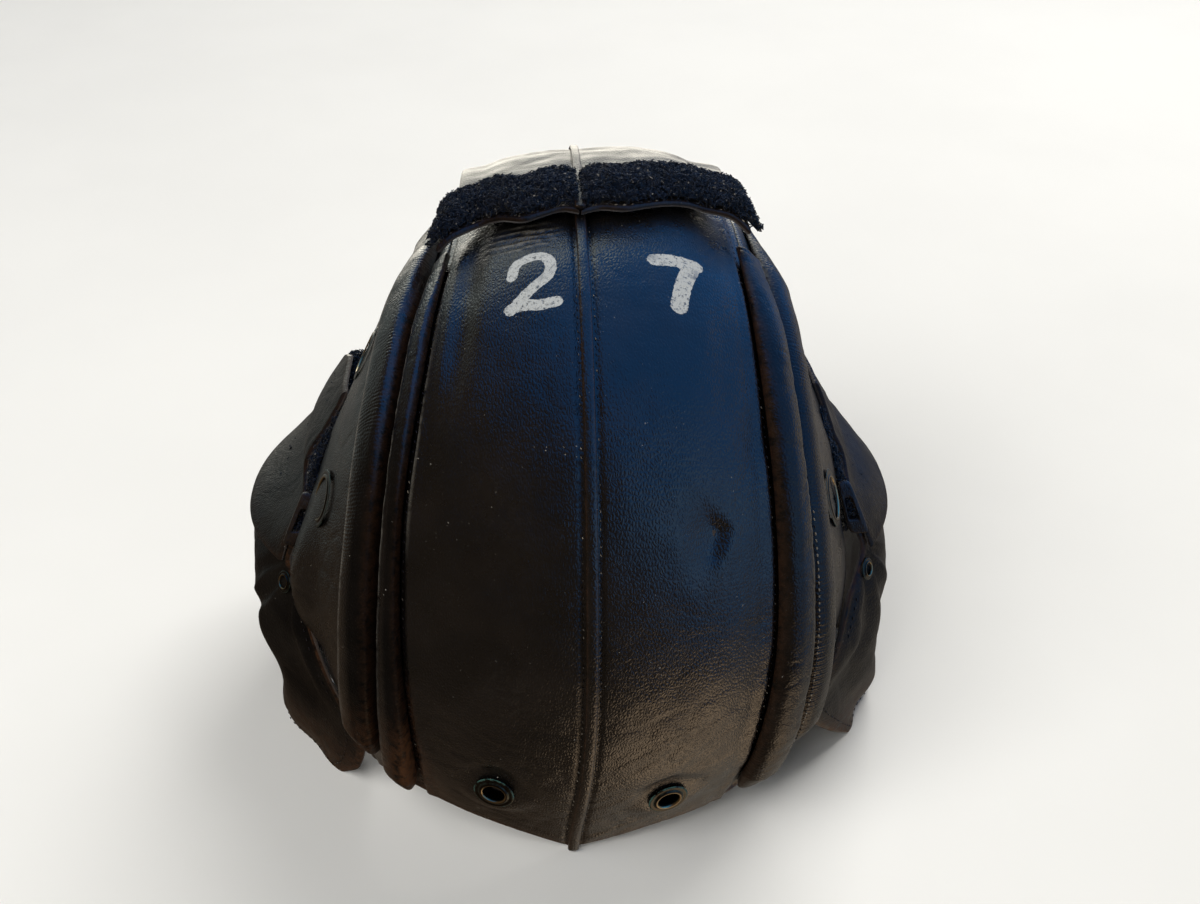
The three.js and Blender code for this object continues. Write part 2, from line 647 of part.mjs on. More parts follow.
function cheekEyelet(side) {
  const { level, ahead, lift } = CHEEK_EYELET;
  const row = flapRow(CHEEK_FLAPS[side.name], level);
  const along = ahead / (row.front - row.rear);
  const place = onCheek(side, along, level, 0);
  const forward = onCheek(side, along + 0.02, level, 0).sub(place);
  const up = onCheek(side, along, level + 1, 0).sub(place);
  const out = forward.cross(up).multiplyScalar(side.sign).normalize();
  return blindEyelet(place.addScaledVector(out, lift), out, CHEEK_RING);
}

// Slotted leather tab that closes the rear edge of the ear flap.
function earTab(side) {
  const at = (u, v, behind) => {
    const edge = onEarFlap(side, 0, mix(TAB.low, TAB.high, v), 0);
    const outer = side.sign * (edge.x - EAR.x) + TAB.overhang;
    const limit = wallX(side, edge.y - 2 * GAP - TAB.thickness, edge.z) + GAP;
    const inner = Math.max(outer - TAB.width, limit);
    edge.x = EAR.x + side.sign * mix(outer, inner, u);
    edge.y -= 2 * GAP + behind;
    return edge;
  };
  const plate = wall(1, 3, (u, v) => at(u, v, TAB.thickness), (u, v) => at(u, v, 0));
  const middle = at(0.5, 0.5, TAB.thickness / 2);
  const slot = new THREE.BoxGeometry(TAB.slotWidth, 8 * TAB.thickness, TAB.slotHeight);
  slot.translate(middle.x, middle.y, middle.z);
  return cut(plate, slot);
}

const finish = (color, roughness, metalness) => {
  return new THREE.MeshStandardMaterial({ color, roughness, metalness, flatShading: true });
};
const crownLeather = finish(0x1d1a19, 0.42, 0);
const flapLeather = finish(0x241f1d, 0.5, 0);
const plush = finish(0x0d0f16, 0.95, 0);
const agedBrass = finish(0x6b6146, 0.45, 1);

const helmet = new THREE.Group();
helmet.name = "tanker_helmet";

function add(name, geometry, material) {
  const piece = new THREE.Mesh(geometry, material);
  piece.name = name;
  helmet.add(piece);
}

add("centre_welt", centreWelt(), crownLeather);
add("brow_welt", browWelt(), flapLeather);
for (const side of Object.values(SIDES)) {
  add("crown_" + side.name, crownPanel(side), crownLeather);
  add("side_panel_" + side.name, sidePanel(side), crownLeather);
  add("inner_rib_" + side.name, innerRib(side), crownLeather);
  add("outer_rib_" + side.name, outerRib(side), crownLeather);
  add("brow_flap_" + side.name, browFlap(side), flapLeather);
  add("brow_fur_" + side.name, browFur(side), plush);
  add("nape_eyelet_" + side.name, napeEyelet(side), agedBrass);
  for (const spot of SIDE_EYELETS) {
    add("side_eyelet_" + spot.name + "_" + side.name, sideEyelet(side, spot), agedBrass);
  }
  add("ear_flap_" + side.name, earFlap(side), flapLeather);
  add("ear_fur_" + side.name, earFur(side), plush);
  add("ear_tab_" + side.name, earTab(side), flapLeather);
  add("cheek_flap_" + side.name, cheekFlap(side), flapLeather);
  add("cheek_eyelet_" + side.name, cheekEyelet(side), agedBrass);
}

export default helmet;
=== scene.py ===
"""A leather tanker helmet that stands on its hems, with its brow flap turned up over the crown.

Sizes in the tables are millimetres and degrees, and everything is made in metres in the part's frame:
+Z up, +Y the way the wearer looks, +X to the wearer's right.
"""

import math

import bpy
import numpy as np
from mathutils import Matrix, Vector


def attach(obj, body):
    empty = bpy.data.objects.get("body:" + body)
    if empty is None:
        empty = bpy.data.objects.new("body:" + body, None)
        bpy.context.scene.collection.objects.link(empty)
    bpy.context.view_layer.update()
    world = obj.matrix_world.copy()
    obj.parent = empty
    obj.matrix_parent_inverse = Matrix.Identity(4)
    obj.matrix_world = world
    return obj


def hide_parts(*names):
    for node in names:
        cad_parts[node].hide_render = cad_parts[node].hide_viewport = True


bl_info = {
    "name": "Leather tanker helmet",
    "version": (1, 0, 0),
    "blender": (4, 5, 0),
    "location": "3D View > Sidebar > Helmet",
    "description": "Builds a leather tanker helmet, its stitching, plush and eyelets, and a studio stage",
    "category": "Object",
}

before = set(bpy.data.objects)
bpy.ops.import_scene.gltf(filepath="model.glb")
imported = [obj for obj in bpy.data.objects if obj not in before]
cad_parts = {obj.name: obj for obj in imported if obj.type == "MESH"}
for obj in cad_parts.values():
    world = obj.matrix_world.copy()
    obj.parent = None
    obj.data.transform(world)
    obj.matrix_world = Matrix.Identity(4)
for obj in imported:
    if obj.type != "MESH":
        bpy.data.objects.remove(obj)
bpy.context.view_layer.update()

MM = 0.001
BODY = "root"
LEFT, RIGHT = -1, 1
SIDES = {LEFT: "left", RIGHT: "right"}


def table(columns, *rows):
    """Rows of numbers under named columns, as one array for each column."""
    return dict(zip(columns.split(), np.array(rows, float).T))


# The ear axis runs along X. Every cross section of the crown lies in a half plane that turns about it:
# turn 0 points straight back, 90 up and 180 ahead.
EAR = (4.0, 16.0, 62.0)
GAP = 0.35
LEATHER = 2.4
FLAP_LEATHER = 2.0

# Radius of the rounded edges of the panels and of the flaps.
PANEL_EDGE = 0.46 * LEATHER
FLAP_EDGE = 0.45 * FLAP_LEATHER

SPREAD = {
    LEFT: table(
        "turn crown ear rise",
        (-34, 1.02, 1.02, 0), (20, 1, 1.02, 0), (45, 0.98, 1.02, 0),
        (70, 0.92, 1.01, 0), (95, 0.83, 0.97, 0), (140, 0.81, 0.95, 0),
    ),
    RIGHT: table(
        "turn crown ear rise",
        (-34, 0.98, 0.98, 0), (20, 1, 0.98, 0), (45, 1.01, 0.98, 0),
        (70, 1.02, 1, 1), (95, 1.01, 1.01, 2.6), (140, 0.99, 0.98, 2.2),
    ),
}

SECTIONS = table(
    "turn crown keel reach waist_x waist_r ear_x ear_r",
    (-90, 150, 8, 48, 76, 104, 90, 22),
    (-60, 138, 8, 48, 76, 94, 88, 20),
    (-34, 111, 6, 50, 80, 84, 89, 14),
    (-10, 107.5, 5, 54, 86, 80, 91, 12),
    (15, 110.5, 4, 58, 86, 78, 92, 10),
    (40, 117, 4, 57, 78, 80, 93, 10),
    (65, 120.8, 3, 57, 67, 83, 94, 10),
    (90, 118, 0, 60, 58, 86, 96, 9),
    (115, 120.5, -1, 64, 53, 87, 97, 8),
    (140, 114, 0, 58, 50, 78, 96, 8),
)

# Seams, measured along a section from the centre seam.
SEAMS = {
    LEFT: table(
        "turn panel inner outer",
        (-60, 46, 58, 72), (-34, 50, 62, 77), (-10, 53, 64.5, 80), (15, 55.5, 64, 78), (40, 55, 62, 75),
        (65, 50.5, 58, 71.5), (90, 47, 54.5, 68), (115, 45, 52.5, 66), (140, 43, 51, 64),
    ),
    RIGHT: table(
        "turn panel inner outer",
        (-60, 46, 59, 72), (-34, 50, 63, 76), (-10, 54, 67, 80), (15, 56.5, 69, 81), (40, 55.5, 67.5, 79),
        (65, 52, 63.5, 75), (90, 49, 60, 71), (115, 48, 58.5, 69), (140, 46, 56, 66),
    ),
}

# Height of the lower hem above the floor, at a distance from the centre seam.
HEM = table(
    "across left right",
    (0, 0, 0), (25, 11, 6.8), (50, 18, 9), (68, 14, 13.5), (82, 5, 21), (96, 5, 28), (115, 14, 36),
)

# Where each side panel ends round the ear, measured from the centre seam.
EAR_EDGE = table(
    "turn across",
    (-90, 126), (-60, 118), (-34, 112), (-10, 114), (15, 116), (40, 120), (65, 122), (90, 122),
    (115, 116), (140, 104),
)

# The centre seam drifts to the left where the nape sags.
SWAY = table("turn x", (-60, -6), (-30, -4.6), (0, -0.4), (30, 0.4), (140, 0))

SHOULDER = 45
CROWN_FRONT = 128
SEAM = 0.4
WELT_WIDTH = 3.4
RIB = {"height": 6.2, "edge": 0.7, "inset": 0.5, "taper": 0.09}
ROLLS = {
    "inner": {"seams": ("panel", "inner"), "front": 87, "front_height": 0.45, "foot": 2.5},
    "outer": {"seams": ("inner", "outer"), "front": 106, "front_height": 0.3, "foot": 19},
}
BROW = {"tuck": 118, "face": 2.35, "rise": 3.2, "under": 0.5}
BROW_HALF_WIDTH = {LEFT: 46.5, RIGHT: 50}
BROW_TAPER = {LEFT: 5.5, RIGHT: 5}

# Along the brow flap from its free edge: the shares where it leaves the crown's outer face and where it
# has turned round the crown's front edge, and the lengths there and at its hidden end.
BROW_OVER, BROW_ROUND = 0.7, 0.9
BROW_LENGTHS = (92, 104, 125)

PLUSH = {"from": 2.4, "to": 22.5, "height": 5.6, "pile": 2.0, "overhang": 1.5}

# Hairs on a square millimetre of backing.
PILE = {"brow": 8.2, "ear": 3.6}

# A nape eyelet's distance from the centre seam and its height on each side.
NAPE_EYELET = {"across": 27, LEFT: 36, RIGHT: 28.5}
NAPE_RING = {"flange": 6.3, "barrel": 4, "hole": 3.3, "lip": 1, "seat": 0.6}
NAPE_LEAN = 0.2
SIDE_RING = {"flange": 9, "hole": 6.3, "lip": 0.8}
CHEEK_RING = {"flange": 3.6, "hole": 2.0, "lip": 1.0}

# A vent eyelet's name, its turn on each side and its distance from the ear axis.
SIDE_EYELETS = (("lower", {LEFT: 45, RIGHT: 42}, 60), ("upper", {LEFT: 84, RIGHT: 84}, 73))

EAR_FUR = {"thickness": 6, "low": 82, "high": 112}
TAB = {"width": 7, "low": 82, "high": 96, "thickness": 2, "overhang": 0.5, "slot": (3.6, 6)}
CHEEK_FOLDS = 4

# Where a cheek flap is gathered, ahead of the ear axis and above the floor. Its rear folds fan out from it.
CHEEK_PINCH = (-40.0, 80.0)

CHEEK_EYELET = {"level": 70, "ahead": 5}
FRONT_BEND = 2.2

# Round the ear the left side panel is pushed out towards its flaps.
EAR_PUSH = {"height": 5.5, "across": 98, "over": 14, "turn": 18, "spread": 24}

FLAP_COLUMNS = "z rear rear_x mid mid_x front front_x bend"
EAR_FLAPS = {
    LEFT: table(
        FLAP_COLUMNS,
        (76, -37, 97, 0, 111, 50, 90, 2.2), (84, -34, 94, 0, 98.5, 50, 88, 2.2),
        (92, -29, 89, 0, 90.5, 47, 85, 2.2), (101, -22, 87, 0, 89, 41, 82, 2.2),
        (110, -14, 80, 0, 82, 32, 79, 2.2), (118, -6, 75, 3, 76, 18, 76, 2.2),
    ),
    RIGHT: table(
        FLAP_COLUMNS,
        (76, -37, 94, 0, 105, 50, 87, 2.2), (84, -34, 91, 0, 98, 50, 85, 2.2),
        (92, -29, 87, 0, 89.5, 47, 83, 2.2), (101, -22, 84, 0, 86, 41, 80, 2.2),
        (110, -14, 78, 0, 80, 32, 77, 2.2), (118, -6, 73, 3, 73.5, 18, 74, 2.2),
    ),
}
CHEEK_FLAPS = {
    LEFT: table(
        FLAP_COLUMNS + " fold",
        (0, -57, 82, -6, 104, 46, 86, 3, 3.2), (12, -66, 75, -6, 106, 50, 88, 3, 3.2),
        (30, -69, 72, -4, 106, 52, 90, 3, 3.0), (50, -64, 80, -2, 110, 51, 91, 3, 2.4),
        (66, -51, 87, 0, 110.5, 50, 90, 2.6, 1.0), (75, -38, 94.2, 0, 106, 50, 87.4, 2.2, 0),
        (81, -35.2, 92.6, 0, 102.6, 50, 86, 2.2, 0),
    ),
    RIGHT: table(
        FLAP_COLUMNS + " fold",
        (0, -45, 92.5, -6, 103.5, 46, 84, 3, 3.2), (12, -55, 83, -6, 105, 50, 86, 3.4, 3.4),
        (30, -64, 72.5, -4, 103.5, 52, 88, 3.4, 2.8), (50, -61, 79.5, -2, 104.5, 51, 88.5, 3, 1.8),
        (66, -51, 85, 0, 104.5, 50, 87, 2.6, 0.8), (75, -38, 91, 0, 101.8, 50, 84.4, 2.2, 0),
        (81, -35.2, 89.6, 0, 98, 50, 83, 2.2, 0),
    ),
}


# Shape of the crown


def mix(a, b, t):
    return a + (b - a) * t


def ease(t):
    """0 below zero, 1 above one, and a soft step between."""
    held = np.clip(t, 0, 1)
    return held * held * (3 - 2 * held)


def bump(value, centre, width):
    """A smooth hill of height 1 at centre."""
    return np.exp(-(((value - centre) / width) ** 2))


def read(rows, key, column, at):
    """A column's value on the smooth curve through a table's rows, where the key column equals at."""
    keys, values = rows[key], rows[column]
    last = len(keys) - 1
    index = np.arange(last + 1)
    before, after = np.maximum(index - 1, 0), np.minimum(index + 1, last)
    slopes = (values[after] - values[before]) / (keys[after] - keys[before])
    at = np.asarray(at, float)
    row = np.searchsorted(keys[1:last], at)
    span = keys[row + 1] - keys[row]
    t = np.clip((at - keys[row]) / span, 0, 1)
    start = (1 + 2 * t) * (1 - t) ** 2 * values[row] + t * (1 - t) ** 2 * span * slopes[row]
    end = t * t * (3 - 2 * t) * values[row + 1] - t * t * (1 - t) * span * slopes[row + 1]
    return start + end


def bisect(low, high, rising, steps=26):
    """Where a rising function of an array reaches zero."""
    for _ in range(steps):
        middle = (low + high) / 2
        past = rising(middle) > 0
        high = np.where(past, middle, high)
        low = np.where(past, low, middle)
    return (low + high) / 2


def section_point(turn, t):
    """Distance out from the middle and radius about the ear axis, along a section's Bezier curve."""
    handle = {column: read(SECTIONS, "turn", column, turn) for column in SECTIONS if column != "turn"}
    weights = (1 - t) ** 3, 3 * t * (1 - t) ** 2, 3 * t * t * (1 - t), t**3
    out = weights[1] * handle["reach"] + weights[2] * handle["waist_x"] + weights[3] * handle["ear_x"]
    radius = (
        weights[0] * handle["crown"]
        + weights[1] * (handle["crown"] - handle["keel"])
        + weights[2] * handle["waist_r"]
        + weights[3] * handle["ear_r"]
    )
    return out, radius


def arc_lengths():
    """For a fan of turns: each section's length, and its curve parameter at equal shares of the length."""
    turns = np.arange(-92, 152.25, 0.5)
    t = np.linspace(0, 1, 401)
    x, r = section_point(turns[:, None], t[None, :])
    steps = np.hypot(np.diff(x, axis=1), np.diff(r, axis=1))
    travelled = np.concatenate([np.zeros((len(turns), 1)), np.cumsum(steps, axis=1)], axis=1)
    shares = np.linspace(0, 1, 513)
    parameter = np.array([np.interp(shares * row[-1], row, t) for row in travelled])
    return turns, travelled[:, -1], parameter


FAN, FAN_LENGTH, FAN_PARAMETER = arc_lengths()


def section_length(turn):
    return np.interp(turn, FAN, FAN_LENGTH)


def section_at(turn, across):
    """Out and radius of a section at a distance along it from the centre seam."""
    turn, across = np.broadcast_arrays(np.asarray(turn, float), np.asarray(across, float))
    share = np.clip(across / section_length(turn), 0, 1) * (FAN_PARAMETER.shape[1] - 1)
    row = np.clip((turn - FAN[0]) / (FAN[1] - FAN[0]), 0, len(FAN) - 1.001)
    i, j = row.astype(int), np.minimum(share.astype(int), FAN_PARAMETER.shape[1] - 2)
    a, b = row - i, share - j
    near = mix(FAN_PARAMETER[i, j], FAN_PARAMETER[i, j + 1], b)
    far = mix(FAN_PARAMETER[i + 1, j], FAN_PARAMETER[i + 1, j + 1], b)
    return section_point(turn, mix(near, far, a))


def seam_at(side, name, turn):
    return read(SEAMS[side], "turn", name, turn)


def split_at(side, turn):
    """The crown panel and the side panel meet under the inner rib."""
    return (seam_at(side, "panel", turn) + seam_at(side, "inner", turn)) / 2


def on_shell(side, turn, across):
    """Points of the crown's outer face."""
    turn, across = np.broadcast_arrays(np.asarray(turn, float), np.asarray(across, float))
    out, radius = section_at(turn, across)
    spread = SPREAD[side]
    top, ear = read(spread, "turn", "crown", turn), read(spread, "turn", "ear", turn)
    wide = mix(top, ear, ease((across - SHOULDER) / 38))
    rise = read(spread, "turn", "rise", turn)
    radius = radius + rise * np.sin(np.pi / 2 * np.clip(across / SHOULDER, 0, 2))
    drift = read(SWAY, "turn", "x", turn) * (1 - np.clip(across / 90, 0, 1))
    angle = np.radians(turn)
    return np.stack(
        [
            EAR[0] + side * out * wide + drift,
            EAR[1] - radius * np.cos(angle),
            EAR[2] + radius * np.sin(angle),
        ],
        axis=-1,
    )


def unit(vectors):
    return vectors / np.maximum(np.linalg.norm(vectors, axis=-1, keepdims=True), 1e-9)


def outward(side, turn, across):
    """The direction out of the crown. Beside the centre seam it leans neither way."""
    step = 0.5
    along = on_shell(side, turn + step, across) - on_shell(side, turn - step, across)
    aside = on_shell(side, turn, across + step) - on_shell(side, turn, across - step)
    normal = unit(side * np.cross(aside, along))
    normal[..., 0] *= np.clip(np.broadcast_to(across, normal.shape[:-1]) / 8, 0, 1)
    return unit(normal)


def off_shell(side, turn, across, lift):
    """Points that stand off the crown by lift, or inside its leather where lift is negative."""
    lift = np.broadcast_to(lift, np.broadcast(turn, across, lift).shape)
    return on_shell(side, turn, across) + outward(side, turn, across) * lift[..., None]


def wall_x(side, y, z):
    """Distance out from the middle to the crown's outer face, beside points (y, z)."""
    y, z = np.broadcast_arrays(np.asarray(y, float), np.asarray(z, float))
    turn = np.degrees(np.arctan2(z - EAR[2], EAR[1] - y))
    radius = np.hypot(y - EAR[1], z - EAR[2])
    return side * (on_shell(side, turn, across_at(turn, radius))[..., 0] - EAR[0])


def across_at(turn, radius):
    """Distance from the centre seam at which a section has come down to a radius about the ear axis."""
    start = np.full(np.shape(turn), 20.0)
    return bisect(start, section_length(turn), lambda at: radius - section_at(turn, at)[1])


def above_hem(side, points, across):
    """Height of points above the lower hem."""
    return points[..., 2] - read(HEM, "across", SIDES[side], across)


def hem_turn(side, column):
    """The turn at which each column of a panel comes down to the hem."""
    count = len(np.atleast_1d(column(np.zeros(1))))
    rising = lambda turn: above_hem(side, on_shell(side, turn, column(turn)), column(turn))
    return bisect(np.full(count, -88.0), np.full(count, 60.0), rising)


def keep_outside(points, side):
    """Moves points that lie inside the crown's outer face out of it, by a seam's gap."""
    out = side * (points[..., 0] - EAR[0])
    least = wall_x(side, points[..., 1], points[..., 2]) + GAP
    points[..., 0] = EAR[0] + side * np.maximum(out, least)


# Noise and meshes


def noise(points, size, seed):
    """Smooth noise between -1 and 1 at points in millimetres, with bumps about size across."""
    scaled = points / np.asarray(size, float) + 31.7
    cell = np.floor(scaled).astype(np.int64)
    f = scaled - cell
    f = f * f * f * (f * (f * 6 - 15) + 10)
    total = 0
    for corner in range(8):
        step = np.array([corner & 1, corner >> 1 & 1, corner >> 2 & 1])
        at = cell + step
        mixed = at[..., 0] * 374761393 + at[..., 1] * 668265263 + at[..., 2] * 362437 + seed * 83492791
        mixed = (mixed ^ (mixed >> 13)) * 1274126177 & 0xFFFFFFFF
        value = ((mixed ^ (mixed >> 16)) & 0xFFFF) / 32767.5 - 1
        share = np.where(step, f, 1 - f).prod(axis=-1)
        total = total + share * value
    return total


def rough(points, size, seed, octaves=3):
    """Noise with finer bumps added, each octave half as large."""
    size = np.asarray(size, float)
    layers = [noise(points, size / 2**k, seed + k) / 2**k for k in range(octaves)]
    return sum(layers) / 1.6


def creases(points, size, seed, sharpness=5.0):
    """1 in thin lines, as in creased leather, and 0 away from them."""
    warp = noise(points, np.asarray(size, float) * 1.3, seed + 7)
    field = noise(points + 0.35 * np.max(size) * warp[..., None], size, seed)
    return np.exp(-((sharpness * field) ** 2))


def spaced(length, step, edge=1.4):
    """Shares from 0 to 1 of a length in millimetres, about one step apart and closer at both ends."""
    near = np.array([0, 0.12, 0.3, 0.6]) * edge
    count = max(int(round((length - 2 * edge) / step)), 2)
    middle = np.linspace(edge, length - edge, count + 1)
    return np.concatenate([near, middle, length - near[::-1]]) / length


def rounding(distance, radius):
    """How far a face sinks at a distance from its edge, for a rounded edge of that radius."""
    inside = 1 - np.clip(distance / radius, 0, 1)
    return radius * (1 - np.sqrt(np.maximum(1 - inside**2, 0)))


def make_mesh(name, points, faces, attributes=(), face_material=None):
    """A smooth mesh object from points in millimetres."""
    mesh = bpy.data.meshes.new(name)
    points = np.asarray(points, float).reshape(-1, 3) * MM
    faces = np.asarray(faces)
    corners = faces.shape[1]
    mesh.vertices.add(len(points))
    mesh.vertices.foreach_set("co", points.ravel())
    mesh.loops.add(faces.size)
    mesh.loops.foreach_set("vertex_index", faces.ravel())
    mesh.polygons.add(len(faces))
    mesh.polygons.foreach_set("loop_start", np.arange(0, faces.size, corners))
    if face_material is not None:
        mesh.polygons.foreach_set("material_index", np.asarray(face_material, np.int32))
    for label, values in attributes:
        store(mesh, label, values)
    mesh.update(calc_edges=True)
    mesh.validate()
    mesh.shade_smooth()
    return link(name, mesh)


def store(mesh, label, values):
    """Keeps a number, or a vector, for each point of a mesh under a name that materials can read."""
    values = np.asarray(values, float)
    kind, field = ("FLOAT_VECTOR", "vector") if values.ndim == 2 else ("FLOAT", "value")
    mesh.attributes.new(label, kind, "POINT").data.foreach_set(field, values.ravel())


def link(name, data):
    """A new object in the scene that holds the data."""
    made = bpy.data.objects.new(name, data)
    bpy.context.scene.collection.objects.link(made)
    return made


def enclosed(points, faces):
    """Six times the volume that faces enclose, to tell which way they point."""
    a, b, c = (points[faces[:, k]] for k in range(3))
    volume = np.einsum("ij,ij->i", a, np.cross(b, c)).sum()
    if faces.shape[1] == 4:
        d = points[faces[:, 3]]
        volume += np.einsum("ij,ij->i", a, np.cross(c, d)).sum()
    return volume


def wall(name, outer, inner, attributes=()):
    """A closed wall between two grids of points. Material 0 covers the outer face and the rim."""
    rows, columns = outer.shape[:2]
    index = np.arange(rows * columns).reshape(rows, columns)
    quad = lambda g: np.stack([g[:-1, :-1], g[:-1, 1:], g[1:, 1:], g[1:, :-1]], axis=-1).reshape(-1, 4)
    front = quad(index)
    back = quad(index + rows * columns)[:, ::-1]
    ring = np.concatenate([index[0, :-1], index[:-1, -1], index[-1, :0:-1], index[:0:-1, 0]])
    following = np.roll(ring, -1)
    rim = np.stack([ring, ring + rows * columns, following + rows * columns, following], axis=-1)
    points = np.concatenate([outer.reshape(-1, 3), inner.reshape(-1, 3)])
    faces = np.concatenate([front, rim, back])
    if enclosed(points, faces) < 0:
        faces = faces[:, ::-1]
    material = np.concatenate([np.zeros(len(front) + len(rim)), np.ones(len(back))])
    doubled = [(label, np.concatenate([flat(values)] * 2)) for label, values in attributes]
    return make_mesh(name, points, faces, doubled, material)


def flat(values):
    """A grid of numbers or vectors as one row for each point."""
    return values.reshape(-1, 3) if values.ndim == 3 else values.ravel()


def skin(across, along):
    """Millimetres over the leather in two directions, for patterns that follow its surface."""
    across, along = np.broadcast_arrays(np.asarray(across, float), np.asarray(along, float))
    return np.stack([across, along, 0 * along], axis=-1)


def tube(name, rings, attributes=()):
    """A closed solid through rings of points. The end rings are shrunk to a point to close them."""
    count, sides = rings.shape[:2]
    ends = rings[[0, -1]].mean(axis=1)
    index = np.arange(count * sides).reshape(count, sides)
    beside = np.roll(index, -1, axis=1)
    body = np.stack([index[:-1], beside[:-1], beside[1:], index[1:]], axis=-1).reshape(-1, 4)
    points = np.concatenate([rings.reshape(-1, 3), ends])
    first, last = count * sides, count * sides + 1
    caps = np.concatenate(
        [
            np.stack([np.full(sides, first), beside[0], index[0], index[0]], axis=-1),
            np.stack([np.full(sides, last), index[-1], beside[-1], beside[-1]], axis=-1),
        ]
    )
    if enclosed(points, body) < 0:
        body, caps = body[:, ::-1], caps[:, ::-1]
    mesh = bpy.data.meshes.new(name)
    triangles = [tuple(dict.fromkeys(face)) for face in caps.tolist()]
    mesh.from_pydata((points * MM).tolist(), [], body.tolist() + triangles)
    for label, values in attributes:
        store(mesh, label, np.concatenate([flat(values), values[[0, -1], 0]]))
    mesh.shade_smooth()
    return link(name, mesh)


def spokes(out, count):
    """Directions that stand evenly round an axis."""
    angle = np.linspace(0, 2 * np.pi, count, endpoint=False)[:, None]
    aside = unit(np.cross(out, [0.0, 0.0, 1.0]))
    return np.cos(angle) * aside + np.sin(angle) * np.cross(out, aside)


def lathe(name, profile, place, out, sides=48):
    """A closed ring of a [radius, height] profile, set at a place with its axis along out."""
    profile = np.asarray(profile, float)
    points = place + spokes(out, sides)[:, None, :] * profile[None, :, :1] + out * profile[None, :, 1:]
    count = len(profile)
    index = np.arange(sides * count).reshape(sides, count)
    right, below = np.roll(index, -1, axis=0), np.roll(index, -1, axis=1)
    both = np.roll(right, -1, axis=1)
    faces = np.stack([index, right, both, below], axis=-1).reshape(-1, 4)
    points = points.reshape(-1, 3)
    if enclosed(points, faces) < 0:
        faces = faces[:, ::-1]
    return make_mesh(name, points, faces)


def finish_piece(piece, slot_name, *finishes, replaces=()):
    """Gives a piece its materials by name and its body. The slot name is not used."""
    for name in finishes:
        piece.data.materials.append(finish_of(name))
    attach(piece, BODY)
    if replaces:
        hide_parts(*replaces)


# Finishes


def linear(code):
    """An sRGB hex colour as linear red, green and blue."""
    channels = [int(code[k : k + 2], 16) / 255 for k in (1, 3, 5)]
    return tuple(c / 12.92 if c <= 0.04045 else ((c + 0.055) / 1.055) ** 2.4 for c in channels)


def add_node(tree, kind, settings=(), inputs=()):
    """A node with its settings. Each input gets a value, or a link from another node's output."""
    made = tree.nodes.new(kind)
    for name, value in dict(settings).items():
        setattr(made, name, value)
    for key, value in dict(inputs).items():
        if isinstance(value, bpy.types.NodeSocket):
            tree.links.new(value, made.inputs[key])
        else:
            made.inputs[key].default_value = value
    return made


# Sockets of a Mix node, by what it mixes.
MIX_COLOUR = {"data_type": "RGBA"}
FACTOR, NUMBER_A, NUMBER_B, COLOUR_A, COLOUR_B = 0, 2, 3, 6, 7
MIXED_COLOUR = 2


def per_metre(size_mm):
    """A texture's scale that gives its pattern a size in millimetres."""
    return 1 / (size_mm * MM)


def new_material(name):
    """An empty material, its node tree, the place on the object and the colours that the user can set."""
    material = bpy.data.materials.new(name)
    material.use_nodes = True
    tree = material.node_tree
    tree.nodes.clear()
    place = add_node(tree, "ShaderNodeTexCoord").outputs["Object"]
    return material, tree, place, bpy.context.scene.helmet_colours


def close_material(material, settings):
    """Puts the principled shader and the output at the end of a material's tree."""
    tree = material.node_tree
    shader = add_node(tree, "ShaderNodeBsdfPrincipled", inputs=settings)
    add_node(tree, "ShaderNodeOutputMaterial", inputs={"Surface": shader.outputs["BSDF"]})
    return material


def maths(tree, operation, *values):
    """One step of arithmetic on numbers."""
    return add_node(tree, "ShaderNodeMath", {"operation": operation}, dict(enumerate(values))).outputs[0]


def vector_maths(tree, operation, *values):
    """One step of arithmetic on vectors. A dot product gives its number."""
    made = add_node(tree, "ShaderNodeVectorMath", {"operation": operation}, dict(enumerate(values)))
    return made.outputs["Value" if operation == "DOT_PRODUCT" else 0]


def ramp(tree, value, low=0.0, high=1.0, first=0.0, last=1.0, soft=False):
    """A number that runs from first to last while value runs from low to high."""
    kind = "SMOOTHSTEP" if soft else "LINEAR"
    inputs = {"Value": value, "From Min": low, "From Max": high, "To Min": first, "To Max": last}
    return add_node(tree, "ShaderNodeMapRange", {"interpolation_type": kind}, inputs).outputs["Result"]


def cloudy(tree, place, size, detail=2.0, roughness=0.5, distortion=0.0, output="Fac"):
    """Soft noise with bumps about size millimetres across."""
    inputs = {"Vector": place, "Scale": per_metre(size), "Detail": detail}
    inputs.update({"Roughness": roughness, "Distortion": distortion})
    return add_node(tree, "ShaderNodeTexNoise", inputs=inputs).outputs[output]


def spots(tree, place, size, low, high, detail=3.0, roughness=0.55):
    """Soft noise turned into patches: 0 where the noise is under low and 1 where it is over high."""
    return ramp(tree, cloudy(tree, place, size, detail, roughness), low, high, soft=True)


def times(tree, *factors):
    """The product of numbers that other nodes give."""
    product = factors[0]
    for factor in factors[1:]:
        product = maths(tree, "MULTIPLY", product, factor)
    return product


def over(tree, share, below, above):
    """One colour laid over another by a share from 0 to 1."""
    inputs = {FACTOR: share, COLOUR_A: opaque(below), COLOUR_B: opaque(above)}
    return add_node(tree, "ShaderNodeMix", MIX_COLOUR, inputs).outputs[MIXED_COLOUR]


def raised(tree, height, distance, strength, below=None):
    """Relief as high as a distance in millimetres, laid over the relief below it."""
    inputs = {"Height": height, "Distance": distance * MM, "Strength": strength}
    if below is not None:
        inputs["Normal"] = below
    return add_node(tree, "ShaderNodeBump", inputs=inputs).outputs[0]


def opaque(colour):
    """A colour with full alpha. One that another node gives is left as it is."""
    return colour if isinstance(colour, bpy.types.NodeSocket) else (*colour, 1.0)


